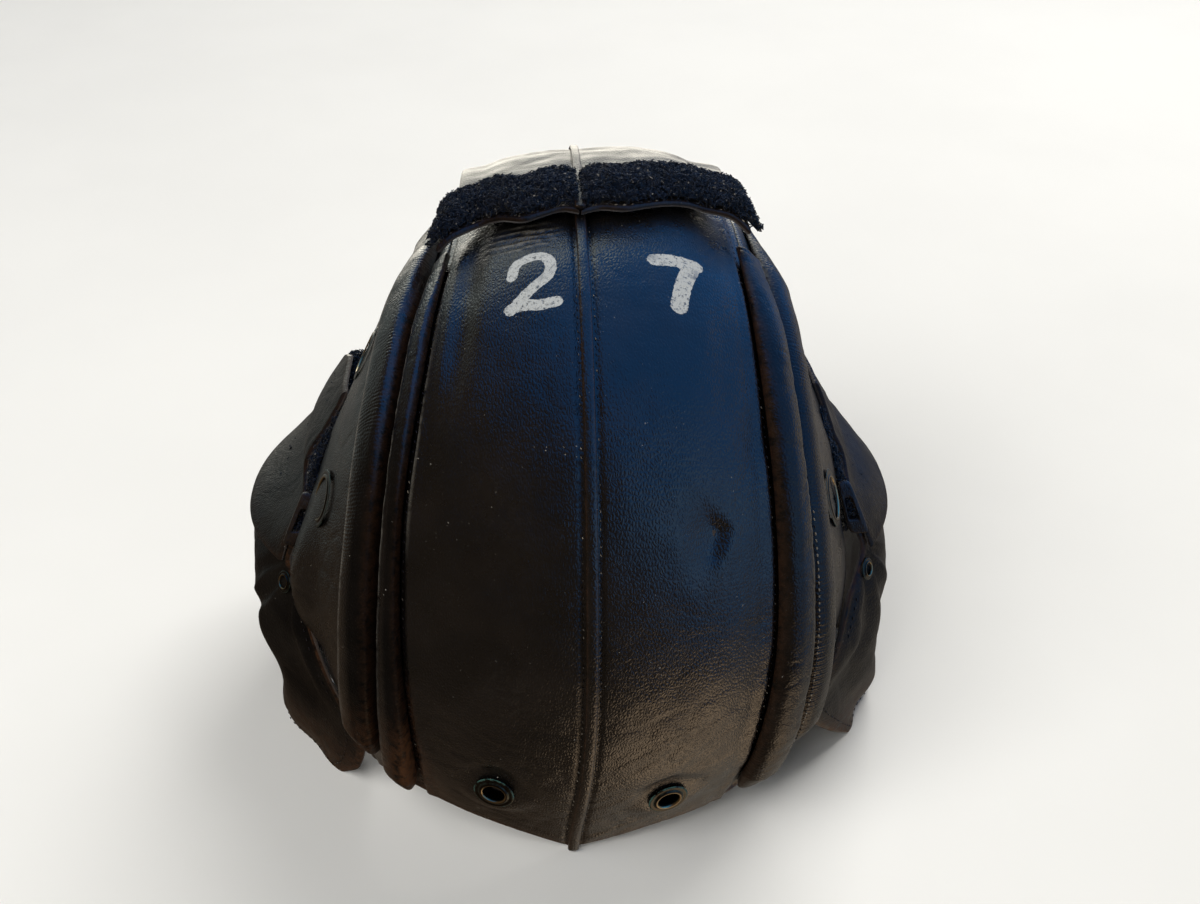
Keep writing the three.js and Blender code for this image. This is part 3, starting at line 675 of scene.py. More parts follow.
def attribute(tree, name, output="Fac"):
    return add_node(tree, "ShaderNodeAttribute", {"attribute_name": name}).outputs[output]


def leather(name, base, lift, grain, roughness, shine):
    """Drum dyed cowhide with a pressed grain, dry and rubbed pale or brown where it wears.

    The eye reads long shining pebbles with fine creases between them, dull brown rubbing along the edges,
    dirt in the grooves that takes the shine, pale lines of painted highlight on sharp folds, and a scatter
    of white dust.
    """
    material, tree, place, colours = new_material(name)
    drift = cloudy(tree, place, 2.2, output="Color")
    drift = vector_maths(tree, "MULTIPLY_ADD", drift, (1.5, 1.5, 0.0), attribute(tree, "skin", "Vector"))
    # The pebbles are about twice as long up and down the helmet as across it.
    drawn_out = vector_maths(tree, "MULTIPLY", drift, (1.0, 0.55, 1.0))
    cells = add_node(
        tree,
        "ShaderNodeTexVoronoi",
        {"feature": "DISTANCE_TO_EDGE", "voronoi_dimensions": "2D"},
        {"Vector": drawn_out, "Scale": 1 / grain, "Randomness": 1.0},
    )
    pebbles = ramp(tree, cells.outputs["Distance"], 0.0, 0.42, soft=True)
    fine = cloudy(tree, place, 0.75 * grain, 3.0, 0.6)
    uneven = cloudy(tree, place, 7.5, 4.0, 0.58, 0.8)

    rubbed = times(tree, attribute(tree, "wear"), spots(tree, place, 2.6, 0.32, 0.60, 6.0, 0.65))
    # Pale scuffs, which on the crown below the brow flap are partly a painted highlight.
    scuffs = times(tree, attribute(tree, "scuff_and_highlight"), spots(tree, place, 1.7, 0.46, 0.70, 8.0, 0.7))
    # Painted highlight: the crest attribute lays pale lines on sharp folds and wrinkle tops.
    crest = times(tree, attribute(tree, "crest"), spots(tree, place, 3.2, 0.30, 0.62, 5.0, 0.65))
    flecks = times(tree, spots(tree, place, 1.1, 0.72, 0.77, 2.0), spots(tree, place, 17, 0.46, 0.64))
    strokes = maths(tree, "MULTIPLY_ADD", cloudy(tree, place, 1.6, 5.0, 0.7), 1.1, attribute(tree, "paint"))
    dry = spots(tree, place, 1.1, 0.34, 0.50, 8.0, 0.75)
    painted = times(
        tree, ramp(tree, strokes, 0.98, 1.16, soft=True), dry, spots(tree, place, 9, 0.20, 0.40)
    )
    body = over(tree, spots(tree, place, 22, 0.38, 0.68), base, lift)
    for share, colour in (
        (rubbed, colours.worn),
        (scuffs, colours.scuff_and_highlight),
        (crest, colours.crest),
        (flecks, colours.dust),
        (painted, colours.paint),
    ):
        body = over(tree, share, body, colour)

    dull = spots(tree, place, 9, 0.30, 0.72, 5.0)
    gloss = ramp(tree, dull, first=roughness - 0.05, last=roughness + 0.07)
    inputs = {FACTOR: maths(tree, "MAXIMUM", rubbed, painted), NUMBER_A: gloss, NUMBER_B: 0.68}
    gloss = add_node(tree, "ShaderNodeMix", inputs=inputs).outputs[0]
    shining = ramp(tree, attribute(tree, "grime"), first=shine, last=0.0)

    relief = raised(tree, uneven, 0.6, 0.4)
    relief = raised(tree, pebbles, 0.095, 0.7, relief)
    relief = raised(tree, fine, 0.09, 0.55, relief)
    inputs = {"Base Color": body, "Roughness": gloss, "Specular IOR Level": shining, "Normal": relief}
    return close_material(material, inputs)


def crown_leather():
    """Crown, side panels, rolls and welts: thick black leather that glints on each pebble of its grain."""
    colours = bpy.context.scene.helmet_colours
    return leather("Black crown leather", colours.leather, colours.leather_lift, 0.9, 0.30, 0.5)


def flap_leather():
    """Brow, ear and cheek flaps and tabs: thinner, softer leather with finer grain and less shine."""
    colours = bpy.context.scene.helmet_colours
    return leather("Soft flap leather", colours.flap, colours.flap_lift, 0.85, 0.38, 0.3)


def lining_suede():
    """Flesh side of the leather inside the helmet: a dull, napped grey brown."""
    material, tree, place, colours = new_material("Suede inside")
    nap = cloudy(tree, place, 0.7, 5.0, 0.7)
    stain = spots(tree, place, 26, 0.35, 0.7)
    body = over(tree, stain, colours.lining, tuple(0.45 * c for c in colours.lining))
    relief = raised(tree, nap, 0.25, 0.8)
    sheen = {"Sheen Weight": 0.25, "Sheen Roughness": 0.5}
    return close_material(material, {"Base Color": body, "Roughness": 0.92, "Normal": relief, **sheen})


def plush_pile():
    """Curled sheepskin dyed blue black: dull roots, and tips bleached grey brown with dust on them."""
    material, tree, place, colours = new_material("Dyed plush")
    tip = attribute(tree, "tip")
    pale = times(tree, tip, spots(tree, place, 5.5, 0.36, 0.64))
    body = over(tree, pale, colours.plush, colours.plush_tip)
    dusty = times(tree, tip, spots(tree, place, 1.4, 0.66, 0.72, 2.0))
    body = over(tree, dusty, body, colours.dust)
    sheen = {"Sheen Weight": 0.06, "Sheen Roughness": 0.45}
    return close_material(material, {"Base Color": body, "Roughness": 0.78, **sheen})


def aged_brass():
    """Pressed brass eyelets: bright where rubbed, brown elsewhere, with verdigris in the hollows."""
    material, tree, place, colours = new_material("Aged brass")
    green = times(tree, attribute(tree, "hollow"), spots(tree, place, 1.6, 0.38, 0.56, 5.0))
    film = times(tree, spots(tree, place, 2.4, 0.55, 0.70, 4.0), 0.5)
    brown = maths(tree, "MAXIMUM", film, attribute(tree, "tarnish"))
    body = over(tree, brown, colours.brass, colours.tarnish)
    body = over(tree, green, body, colours.verdigris)
    bare = maths(tree, "SUBTRACT", 1.0, green)
    gloss = ramp(tree, green, first=0.32, last=0.85)
    relief = raised(tree, cloudy(tree, place, 0.8, 4.0, 0.6), 0.08, 0.6)
    inputs = {"Base Color": body, "Metallic": bare, "Roughness": gloss, "Normal": relief}
    return close_material(material, inputs)


def waxed_thread():
    """Waxed linen thread, yellowed and dirty, some stitches darker than others."""
    material, tree, place, colours = new_material("Waxed thread")
    uneven = maths(tree, "ADD", cloudy(tree, place, 3.0, 3.0), attribute(tree, "stain"))
    dirty = ramp(tree, uneven, 0.48, 0.62)
    body = over(tree, dirty, colours.thread, colours.thread_dirty)
    relief = raised(tree, cloudy(tree, place, 0.3), 0.1, 0.6)
    return close_material(material, {"Base Color": body, "Roughness": 0.7, "Normal": relief})


def studio_floor():
    """Matt seamless paper, nearly white and faintly mottled."""
    material, tree, place, colours = new_material("Pale paper floor")
    mottle = spots(tree, place, 160, 0.3, 0.7)
    body = over(tree, mottle, colours.floor, tuple(0.97 * c for c in colours.floor))
    return close_material(material, {"Base Color": body, "Roughness": 0.9})


FINISHES = {
    "crown": crown_leather,
    "flap": flap_leather,
    "lining": lining_suede,
    "plush": plush_pile,
    "brass": aged_brass,
    "thread": waxed_thread,
    "floor": studio_floor,
}
MADE_FINISHES = {}


def finish_of(name):
    """The material of that name, made the first time it is asked for."""
    if name not in MADE_FINISHES:
        MADE_FINISHES[name] = FINISHES[name]()
    return MADE_FINISHES[name]


# Relief and wear of the leather

# Millimetres along a section's surface for one degree of turn, over the crown.
PER_DEGREE = 2.03

# The pressed dent of the right half: a hollow in the shape of an arrowhead, as turn and across.
DENT = {"top": (39.6, 33.0), "corner": (35.8, 40.5), "bottom": (29.0, 35.5), "depth": 2.3}

# A painted digit stands on each half, read from behind the helmet. Its strokes run from 0 to 1 across
# and up, and size and half width of the brush are millimetres.
DIGITS = {
    LEFT: {
        "turn": 72.3,
        "across": 16.5,
        "size": (12.5, 18.5),
        "brush": 1.9,
        "strokes": (
            [(0.02, 0.68), (0.08, 1), (0.9, 1.08), (1.08, 0.62), (0.5, 0.34), (0, 0)],
            [(-0.02, 0.02), (0.4, 0.06), (0.7, 0), (1.15, 0.04)],
        ),
    },
    RIGHT: {
        "turn": 72.3,
        "across": 26.5,
        "size": (11.5, 18),
        "brush": 2.6,
        "strokes": (
            [(0, 0.93), (0.5, 0.98), (1.04, 0.95)],
            [(0.98, 0.95), (0.66, 0.5), (0.5, 0)],
        ),
    },
}

# Turn of the brow flap's free edge, at a distance from the centre seam.
BROW_EDGE = table(
    "across left right",
    (0, 85.2, 85), (6, 86.2, 86), (13, 85.1, 85.6), (19, 84.4, 86.8), (27, 86.4, 88.6),
    (34, 86.8, 89.6), (40, 84.8, 89.4), (46, 83.4, 88.4), (52, 83, 87),
)


def flat_distance(px, py, a, b):
    """Distance from points to a line segment, and how far to its left side they lie."""
    along = np.array(b, float) - np.array(a, float)
    length = np.hypot(*along)
    along = along / length
    reach = np.clip((px - a[0]) * along[0] + (py - a[1]) * along[1], 0, length)
    beside = (px - a[0]) * -along[1] + (py - a[1]) * along[0]
    return np.hypot(px - a[0] - reach * along[0], py - a[1] - reach * along[1]), beside


def bent(corners, passes=3):
    """An open line through corners, with the corners cut to bends."""
    line = np.array(corners, float)
    for _ in range(passes):
        ahead, behind = mix(line[:-1], line[1:], 0.75), mix(line[:-1], line[1:], 0.25)
        line = np.concatenate([line[:1], np.stack([behind, ahead], axis=1).reshape(-1, 2), line[-1:]])
    return line


def paint_depth(side, turn, across):
    """How many millimetres inside the painted strokes a point lies, or 0 outside them."""
    digit = DIGITS[side]
    right = side * (across - digit["across"]) + digit["size"][0] / 2
    up = (turn - digit["turn"]) * PER_DEGREE + digit["size"][1] / 2
    nearest = []
    for stroke in digit["strokes"]:
        line = bent(stroke) * digit["size"]
        nearest += [flat_distance(right, up, a, b)[0] for a, b in zip(line, line[1:])]
    return np.clip(digit["brush"] + 0.45 - np.min(nearest, axis=0), 0, 4)


def dent_relief(turn, across):
    """Depth of the dent: steep at the arrowhead's two sides, and rising slowly away from them."""
    flatten = lambda spot: (spot[1], spot[0] * PER_DEGREE)
    top, corner, bottom = (flatten(DENT[name]) for name in ("top", "corner", "bottom"))
    x, y = across, turn * PER_DEGREE
    _, upper = flat_distance(x, y, corner, top)
    _, lower = flat_distance(x, y, bottom, corner)
    inside = np.minimum(upper, lower)
    near = np.exp(-(((y - corner[1] + 3) / 9.5) ** 2)) * ease((x - corner[0] + 18) / 14)
    return -DENT["depth"] * near * ease((inside + 2.0) / 5.6)


def wrinkles(turn, across, points):
    """Small wrinkles that lie across the left half where the brow flap presses on it, from -1 to 1."""
    waves = np.sin(2.1 * PER_DEGREE * turn + 3.5 * noise(points, 9, 47))
    return bump(turn, 82.5, 3.2) * bump(across, 20, 11) * waves


def crown_relief(side, turn, across, points):
    """Millimetres that the worn crown panel stands above its smooth shape."""
    panel = seam_at(side, "panel", turn)
    # The whole panel is uneven, with short creases that fade out in calmer places.
    height = 0.75 * rough(points, 34, 11)
    calm = 0.3 + 0.7 * ease(noise(points, 40, 5) + 0.2)
    height -= 0.16 * calm * creases(points, (13, 9, 9), 21, 6)
    # Longer ones slant down towards the nape.
    up = PER_DEGREE * turn
    slanted = skin(across + 0.7 * up, up - 0.6 * across)
    lower = ease((22 - turn) / 25)
    height -= 0.22 * lower * creases(slanted, (20, 6, 9), 33, 4)
    # The panel's edge is folded under, so it stands up and drops steeply into the groove beside the roll.
    height += 0.8 * ease((across - panel + 5.5) / 4.4) - 1.9 * ease((across - panel + 1.3) / 1.1)
    # The panel dips towards the centre seam, into a narrow groove along the welt.
    height -= 0.65 * bump(across, 2.35, 0.8) + 0.35 * bump(across, 1.5, 5)
    if side == LEFT:
        # Below the brow flap a ridge runs down beside the roll, with a hollow on its inner side.
        window = ease((turn - 50) / 14) * ease((90 - turn) / 8)
        ridge = 44 - 0.15 * (turn - 72)
        height += 1.1 * window * (bump(across, ridge, 2.4) - 0.9 * bump(across, ridge - 6.5, 3.6))
        height -= 0.4 * window * bump(across, 25, 7)
        height += 0.32 * wrinkles(turn, across, points)
    else:
        height += dent_relief(turn, across)
        height -= 0.5 * bump(turn, 63, 9) * bump(across, 40, 5)
    return height


def crown_wear(side, turn, across, points):
    """Brown rubbing, pale scuffs with a painted highlight under the brow flap, and painted highlight lines
    of the crown panel, each from 0 to 1.
    """
    panel = seam_at(side, "panel", turn)
    patchy = 0.6 + 0.4 * noise(points, 9, 44)
    # The edge beside the roll is rubbed through, on the left half further in towards the nape.
    if side == LEFT:
        reach = 1.5 + 6.5 * ease((-2 - turn) / 22)
        worn = ease((14 - turn) / 14) * np.exp(-(((panel - across) / reach) ** 2))
    else:
        worn = 0.45 * np.exp(-(((panel - across) / 1.6) ** 2))
    hem = above_hem(side, points, across)
    worn = np.maximum(worn * patchy, 0.9 * np.exp(-((hem / 1.6) ** 2)))
    # Pale scuffs at random, and a pale patch below the brow flap that is a painted highlight.
    scuffs_and_highlight = 0.3 * ease(noise(points, 24, 61) - 0.1) + 0.5 * bump(turn, 80, 6) * bump(across, 26, 16)
    # Painted highlights: pale lines on the left half's folded edge and on its wrinkles.
    if side == LEFT:
        rubbed = 0.9 * bump(panel - across, 1.5, 0.45) * ease((turn - 30) / 12)
        rubbed = np.maximum(rubbed, ease(2.2 * wrinkles(turn, across, points) - 0.15))
    else:
        rubbed = 0 * across
    return worn, np.clip(scuffs_and_highlight, 0, 1), rubbed


# Pieces

# Length of a panel from hem to front, to space its rows by.
PANEL_LENGTH = 324.0


def panel_grid(side, near, far, step):
    """Turn and distance from the centre seam over a panel, and the distance to its nearest edge."""
    width, length = far(20.0) - near(20.0), PANEL_LENGTH
    share, rise = spaced(width, step), spaced(length, step)
    lowest = hem_turn(side, lambda turn: mix(near(turn), far(turn), share))
    turn = mix(lowest[None, :], CROWN_FRONT, rise[:, None])
    across = mix(near(turn), far(turn), share[None, :])
    edge = np.minimum(
        np.minimum(share, 1 - share)[None, :] * width,
        np.minimum(rise, 1 - rise)[:, None] * length,
    )
    return turn, across, edge


def leather_wall(name, side, turn, across, edge, relief, attributes):
    """A crown or side panel with rounded edges, from relief over the smooth shape."""
    sink = rounding(edge, PANEL_EDGE)
    outer = off_shell(side, turn, across, relief * np.clip(edge / 1.5, 0, 1) - sink)
    inner = off_shell(side, turn, across, sink - LEATHER)
    return wall(name, outer, inner, attributes)


def nape_eyelet_spot(side):
    """Place of a nape eyelet, the direction up the crown there and the direction that its ring faces."""
    across, height = NAPE_EYELET["across"], NAPE_EYELET[side]
    rising = lambda turn: on_shell(side, turn, across)[..., 2] - height
    turn = bisect(np.array([-58.0]), np.array([60.0]), rising)
    place, out = on_shell(side, turn, across)[0], outward(side, turn, across)[0]
    upward = unit(np.cross(out, np.cross([0.0, 0.0, 1.0], out)))
    return place, upward, unit(out + NAPE_LEAN * upward)


def bake(piece, modifier):
    """Makes what a modifier shows the piece's own mesh."""
    graph = bpy.context.evaluated_depsgraph_get()
    shown = piece.evaluated_get(graph)
    mesh = bpy.data.meshes.new_from_object(shown, preserve_all_data_layers=True, depsgraph=graph)
    piece.modifiers.remove(modifier)
    spare = piece.data
    piece.data = mesh
    bpy.data.meshes.remove(spare)


def drill(piece, place, out, radius):
    """Cuts a round hole through a piece."""
    depth = 16.0
    profile = [(0.01, -depth / 2), (radius, -depth / 2), (radius, depth / 2), (0.01, depth / 2)]
    tool = lathe("Drill", profile, place, out)
    modifier = piece.modifiers.new("Hole", "BOOLEAN")
    modifier.operation, modifier.solver, modifier.object = "DIFFERENCE", "EXACT", tool
    bake(piece, modifier)
    bpy.data.meshes.remove(tool.data)


def make_crown_panel(side):
    near = lambda turn: SEAM / 2 + 0 * turn
    far = lambda turn: split_at(side, turn) - SEAM / 2
    turn, across, edge = panel_grid(side, near, far, step=0.95)
    points = on_shell(side, turn, across)
    place, upward, faced = nape_eyelet_spot(side)
    ring_distance = np.linalg.norm(points - place, axis=-1)
    settle = ease((ring_distance - 6.5) / 5)
    relief = crown_relief(side, turn, across, points) * settle
    # The leather is pulled round the eyelet so that the ring faces further up.
    relief -= NAPE_LEAN * ((points - place) @ upward) * (1 - ease((ring_distance - 6.8) / 8))
    worn, scuffs_and_highlight, rubbed = crown_wear(side, turn, across, points)
    # The crest attribute carries painted highlight lines, and the scuffs also a painted highlight under the
    # brow flap.
    attributes = [
        ("wear", worn),
        ("scuff_and_highlight", scuffs_and_highlight),
        ("crest", rubbed),
        ("paint", paint_depth(side, turn, across)),
        ("skin", skin(side * across, PER_DEGREE * turn)),
    ]
    piece = leather_wall(f"{SIDES[side]}_crown_panel", side, turn, across, edge, relief, attributes)
    drill(piece, place, faced, NAPE_RING["barrel"] + GAP)
    finish_piece(piece, "crown_leather", "crown", "lining", replaces=[f"crown_{SIDES[side]}"])


def make_side_panel(side):
    near = lambda turn: split_at(side, turn) + SEAM / 2
    far = lambda turn: read(EAR_EDGE, "turn", "across", turn)
    turn, across, edge = panel_grid(side, near, far, step=1.25)
    points = on_shell(side, turn, across)
    beyond = across - seam_at(side, "outer", turn)
    height = 0.5 * rough(points, 26, 71) - 0.25 * creases(points, 10, 75, 5)
    # Folds run up from the hem beside the outer roll.
    folds = np.sin(2 * np.pi * beyond / 9 + 1.5 * noise(points, 16, 77))
    height += 0.8 * folds * ease((-8 - turn) / 16) * ease((beyond - 1) / 6)
    height *= ease((beyond + 1) / 4)
    if side == LEFT:
        near_ear = ease((across - EAR_PUSH["across"]) / EAR_PUSH["over"])
        height += EAR_PUSH["height"] * near_ear * bump(turn, EAR_PUSH["turn"], EAR_PUSH["spread"])
    hem = above_hem(side, points, across)
    worn = 0.7 * np.exp(-((hem / 1.6) ** 2))
    laid = skin(side * across, PER_DEGREE * turn)
    attributes = [("wear", worn), ("scuff_and_highlight", 0.25 * ease(noise(points, 20, 81))), ("skin", laid)]
    piece = leather_wall(f"{SIDES[side]}_side_panel", side, turn, across, edge, height, attributes)
    finish_piece(piece, "crown_leather", "crown", "lining", replaces=[f"side_panel_{SIDES[side]}"])


def strip(name, place, count):
    """A raised sewn strip. Place gives points at a row and a share of the half width, with a lift."""
    shares = np.array([-1, -0.97, -0.88, -0.7, -0.4, 0, 0.4, 0.7, 0.88, 0.97, 1])
    dome = 0.25 + 0.75 * (1 - np.abs(shares) ** 5) ** 0.5
    rows = np.linspace(0, 1, count)
    top = place(rows[:, None], shares[None, :], dome[None, :])
    low_shares = np.array([0.9, 0.45, 0, -0.45, -0.9])
    low = place(rows[:, None], low_shares[None, :], np.zeros((1, 5)))
    rings = np.concatenate([top, low], axis=1)
    edge = np.concatenate([np.abs(shares) ** 4, np.zeros(5)])
    wear = np.broadcast_to(0.3 * edge, rings.shape[:2])
    laid = skin(0.5 * WELT_WIDTH * np.concatenate([shares, low_shares]), 0.5 * np.arange(count)[:, None])
    return tube(name, rings, [("wear", wear), ("scuff_and_highlight", 0.3 * wear), ("skin", laid)])


def both_sides(share, on_side):
    """Points of the left half where share is negative, and of the right half elsewhere."""
    return np.where((share < 0)[..., None], on_side(LEFT), on_side(RIGHT))


def make_centre_welt():
    start = hem_turn(LEFT, lambda turn: 0 * turn)[0] + 0.8
    seat, front = 0.5, 124

    def place(row, share, dome):
        row, share, dome = np.broadcast_arrays(row, share, dome)
        turn = mix(start, front, row)
        across = np.abs(share) * WELT_WIDTH / 2
        wavy = 0.12 * noise(on_shell(RIGHT, turn, across), 5, 91)
        lift = seat + 1.1 * dome + wavy * dome
        return both_sides(share, lambda side: off_shell(side, turn, across, lift))

    piece = strip("centre_seam_welt", place, 620)
    finish_piece(piece, "crown_leather", "crown", replaces=["centre_welt"])


# Extra points across a roll where it folds, as shares of its width.
ROLL_FOLD = (0.765, 0.805, 0.845, 0.875, 0.915)

# Share of a roll's width where it is highest, and how square its inner and outer halves are. The right
# rolls rise slowly to a tight outer fold, and the left ones are flat on top.
ROLL_SHAPE = {LEFT: (0.4, 5.0, 2.6), RIGHT: (0.72, 2.3, 3.0)}

# Share of a roll's width where a painted highlight, a thin pale line, lies along its fold.
ROLL_HIGHLIGHT = {LEFT: 0.78, RIGHT: 0.87}

# Share of the right outer roll's width where it is stitched.
ROLL_STITCHED = 0.16

# How wide a roll's foot is, as a share of its full width.
ROLL_FOOT = 0.12


def roll_arch(side, share):
    """Height of a roll over its width, 0 to 1."""
    crest, inner, outer = ROLL_SHAPE[side]
    toward = np.where(share < crest, (crest - share) / crest, (share - crest) / (1 - crest))
    power = np.where(share < crest, inner, outer)
    return np.maximum(1 - toward**power, 0) ** (1 / power)


def roll_start(side, which):
    """The turn at which a roll begins, above the hem."""
    line = split_at if which == "inner" else lambda side, turn: seam_at(side, "inner", turn)
    foot = hem_turn(side, lambda turn: np.atleast_1d(line(side, turn)))[0]
    return foot + ROLLS[which]["foot"] / 2


def roll_width(side, which, turn):
    """Both edges of a roll across the crown, how far it has widened from its foot, and its height."""
    settings = ROLLS[which]
    near_seam, far_seam = settings["seams"]
    start = roll_start(side, which)
    t = (turn - start) / (settings["front"] - start)
    near = seam_at(side, near_seam, turn) + RIB["inset"]
    far = seam_at(side, far_seam, turn) - RIB["inset"]
    begin = np.sqrt(np.clip(t / RIB["taper"], 0.004, 1))
    end = mix(settings["front_height"], 1, ease((1 - t) / (2 * RIB["taper"])))
    return near, far, begin, np.minimum(RIB["height"], (far - near) / 2) * begin * end


def roll_face(side, which, turn, share):
    """Distance from the centre seam and lift of a roll's face. Its stitching gathers the outer one."""
    near, far, begin, full = roll_width(side, which, turn)
    across = mix(near, far, mix(0.5, share, mix(ROLL_FOOT, 1, begin)))
    arch = roll_arch(side, share)
    points = on_shell(side, turn, across)
    along = turn * PER_DEGREE
    if which == "inner":
        height = full * arch + 0.25 * rough(points, 12, 101) * arch
        height -= 0.22 * arch * creases(points, (7, 5, 5), 103, 4)
    else:
        # Fine puckers from gathering, stronger in some places than in others.
        gather = np.sin(2 * np.pi * along / 1.3 + 4.5 * noise(points, 3.4, 105))
        strong = ease(0.55 + 0.75 * noise(points, 8, 107))
        height = full * arch + 0.065 * gather * strong * np.clip(1.3 * arch, 0, 1) * begin
        height += 0.35 * rough(points, 15, 109) * arch
        if side == RIGHT:
            # Each stitch pulls the leather down a little beside it.
            pulled = np.sin(2 * np.pi * along / 2.5) * np.exp(-3.5 * share) * ease((40 - turn) / 14)
            height += 0.1 * pulled * np.clip(3 * arch, 0, 1)
    return across, GAP + RIB["edge"] * np.clip(begin, 0.3, 1) * 0.7 + np.maximum(height, 0)


def make_rib(side, which):
    """A padded roll, closed by a flat underside."""
    count, top = (460, 21) if which == "inner" else (1100, 25)
    # Rings are closer at the foot, where the roll widens fast.
    t = np.linspace(0, 1, count)
    t = np.concatenate([np.linspace(0, t[6], 14)[:-1], t[6:]])[:, None]
    turn = mix(roll_start(side, which), ROLLS[which]["front"], t)
    even = 0.5 - 0.5 * np.cos(np.pi * np.linspace(0, 1, top))
    share = np.sort(np.concatenate([even, ROLL_FOLD]))[None, :]
    across, lift = roll_face(side, which, turn, share)
    near, far, begin, _ = roll_width(side, which, turn)
    low_share = np.linspace(0.97, 0.03, 7)[None, :]
    low_across = mix(near, far, mix(0.5, low_share, mix(ROLL_FOOT, 1, begin)))
    underside = off_shell(side, turn, low_across, GAP)
    rings = np.concatenate([off_shell(side, turn, across, lift), underside], axis=1)
    # The left rolls are rubbed brown towards the nape, the inner one most on the side of the groove.
    low_turn = ease((6 - turn) / 20)
    worn = 0.3 * low_turn * (side == LEFT) + 0.2 * np.abs(2 * share - 1) ** 6 + 0 * turn
    if which == "inner" and side == LEFT:
        worn = worn + 0.8 * ease((4 - turn) / 16) * np.exp(-7 * share)
    # A painted highlight: a thin pale line along each roll's fold.
    rubbed = bump(share, ROLL_HIGHLIGHT[side], 0.05) * (0.4 + 0.6 * ease((turn - 12) / 25))
    # Dirt sits on the face that turns to the groove, and most of it on the left half.
    dirty = 0.95 * ease((62 - turn) / 24) if side == LEFT else 0.5
    grime = ease((0.62 - share) / 0.25) * dirty + 0 * turn
    ringed = lambda values, below: np.concatenate([values, np.full(low_across.shape, below)], axis=1)
    attributes = [
        ("wear", ringed(worn, 0.0)),
        ("scuff_and_highlight", 0.3 * ringed(worn, 0.0)),
        ("crest", ringed(rubbed, 0.0)),
        ("grime", ringed(grime, 1.0)),
        ("skin", skin(np.concatenate([across, low_across], axis=1), turn * PER_DEGREE)),
    ]
    piece = tube(f"{SIDES[side]}_{which}_roll", rings, attributes)
    finish_piece(piece, "crown_leather", "crown", replaces=[f"{which}_rib_{SIDES[side]}"])


def make_rolls(side):
    for which in ROLLS:
        make_rib(side, which)


# Brow flap


def on_brow(side, along, across, out):
    """A point of the turned up brow flap. Along runs from its free edge at 0, forward over the crown, round
    the crown's front edge and back inside to 1. Out is the distance from its hidden face."""
    along, across, out = np.broadcast_arrays(*(np.asarray(a, float) for a in (along, across, out)))
    # The flap is widest at its free edge, and its outer parts stand up over the rolls.
    taper = BROW_TAPER[side] / BROW_HALF_WIDTH[side]
    across = across * (1 - taper * ease(along / 0.25))
    face = BROW["face"] + BROW["rise"] * ease((across - BROW_HALF_WIDTH[side] + 14) / 10)
    inside = -LEATHER - BROW["under"]
    edge = read(BROW_EDGE, "across", SIDES[side], across)
    over_turn = mix(edge, CROWN_FRONT, along / BROW_OVER)
    back_turn = mix(CROWN_FRONT, BROW["tuck"], (along - BROW_ROUND) / (1 - BROW_ROUND))
    angle = (along - BROW_OVER) / (BROW_ROUND - BROW_OVER) * np.pi
    radius = (face - inside) / 2 + out
    crown = read(SECTIONS, "turn", "crown", CROWN_FRONT)
    fold_turn = CROWN_FRONT + np.degrees(radius * np.sin(angle) / crown)
    fold_lift = (face + inside) / 2 + radius * np.cos(angle)
    outside_or_in = [along <= BROW_OVER, along >= BROW_ROUND]
    turn = np.select(outside_or_in, [over_turn, back_turn], fold_turn)
    lift = np.select(outside_or_in, [face + out, inside - out], fold_lift)
    return off_shell(side, turn, across, lift)


def brow_rows():
    """Rows of the brow flap along its length, closer at the free edge and round the fold."""
    flat_part = BROW_OVER * spaced(BROW_LENGTHS[0], 1.3)
    round_part = np.linspace(BROW_OVER, BROW_ROUND, 16)[1:]
    return np.concatenate([flat_part, round_part, np.linspace(BROW_ROUND, 1, 14)[1:]])


def brow_distance(along):
    """Distance from the free edge in millimetres."""
    return np.interp(along, [0, BROW_OVER, BROW_ROUND, 1], [0, *BROW_LENGTHS])


def make_brow_flap(side):
    width = BROW_HALF_WIDTH[side]
    along = brow_rows()[:, None]
    share = spaced(width, 1.2)[None, :]
    across = mix(SEAM / 2, width, share)
    back = brow_distance(along)
    beside, ahead = np.minimum(share, 1 - share) * width, np.minimum(back, BROW_LENGTHS[2] - back)
    edge = np.minimum(beside, ahead)
    sink = rounding(edge, FLAP_EDGE)
    points = on_brow(side, along, across, FLAP_LEATHER)
    height = 0.4 * rough(points, 18, 121) - 0.25 * creases(points, (16, 7, 7), 123, 4)
    height += 0.15 * np.sin(2 * np.pi * back / 11 + 2 * noise(points, 20, 125)) * ease((back - 30) / 12)
    held = np.clip(edge / 2, 0, 1)
    outer = on_brow(side, along, across, FLAP_LEATHER + height * held - sink)
    inner = on_brow(side, along, across, sink)
    worn = 0.1 * np.exp(-((back / 2.2) ** 2)) + 0 * across
    laid = skin(side * across, back)
    attributes = [("wear", worn), ("scuff_and_highlight", 0 * worn), ("skin", laid)]
    piece = wall(f"{SIDES[side]}_brow_leather", outer, inner, attributes)
    finish_piece(piece, "flap_leather", "flap", "lining", replaces=[f"brow_flap_{SIDES[side]}"])


def make_brow_welt():
    def place(row, share, dome):
        row, share, dome = np.broadcast_arrays(row, share, dome)
        across = np.abs(share) * WELT_WIDTH / 2
        out = FLAP_LEATHER + GAP + 1.1 * dome
        return both_sides(share, lambda side: on_brow(side, BROW_ROUND * row, across, out))

    piece = strip("brow_seam_welt", place, 200)
    finish_piece(piece, "flap_leather", "flap", replaces=["brow_welt"])


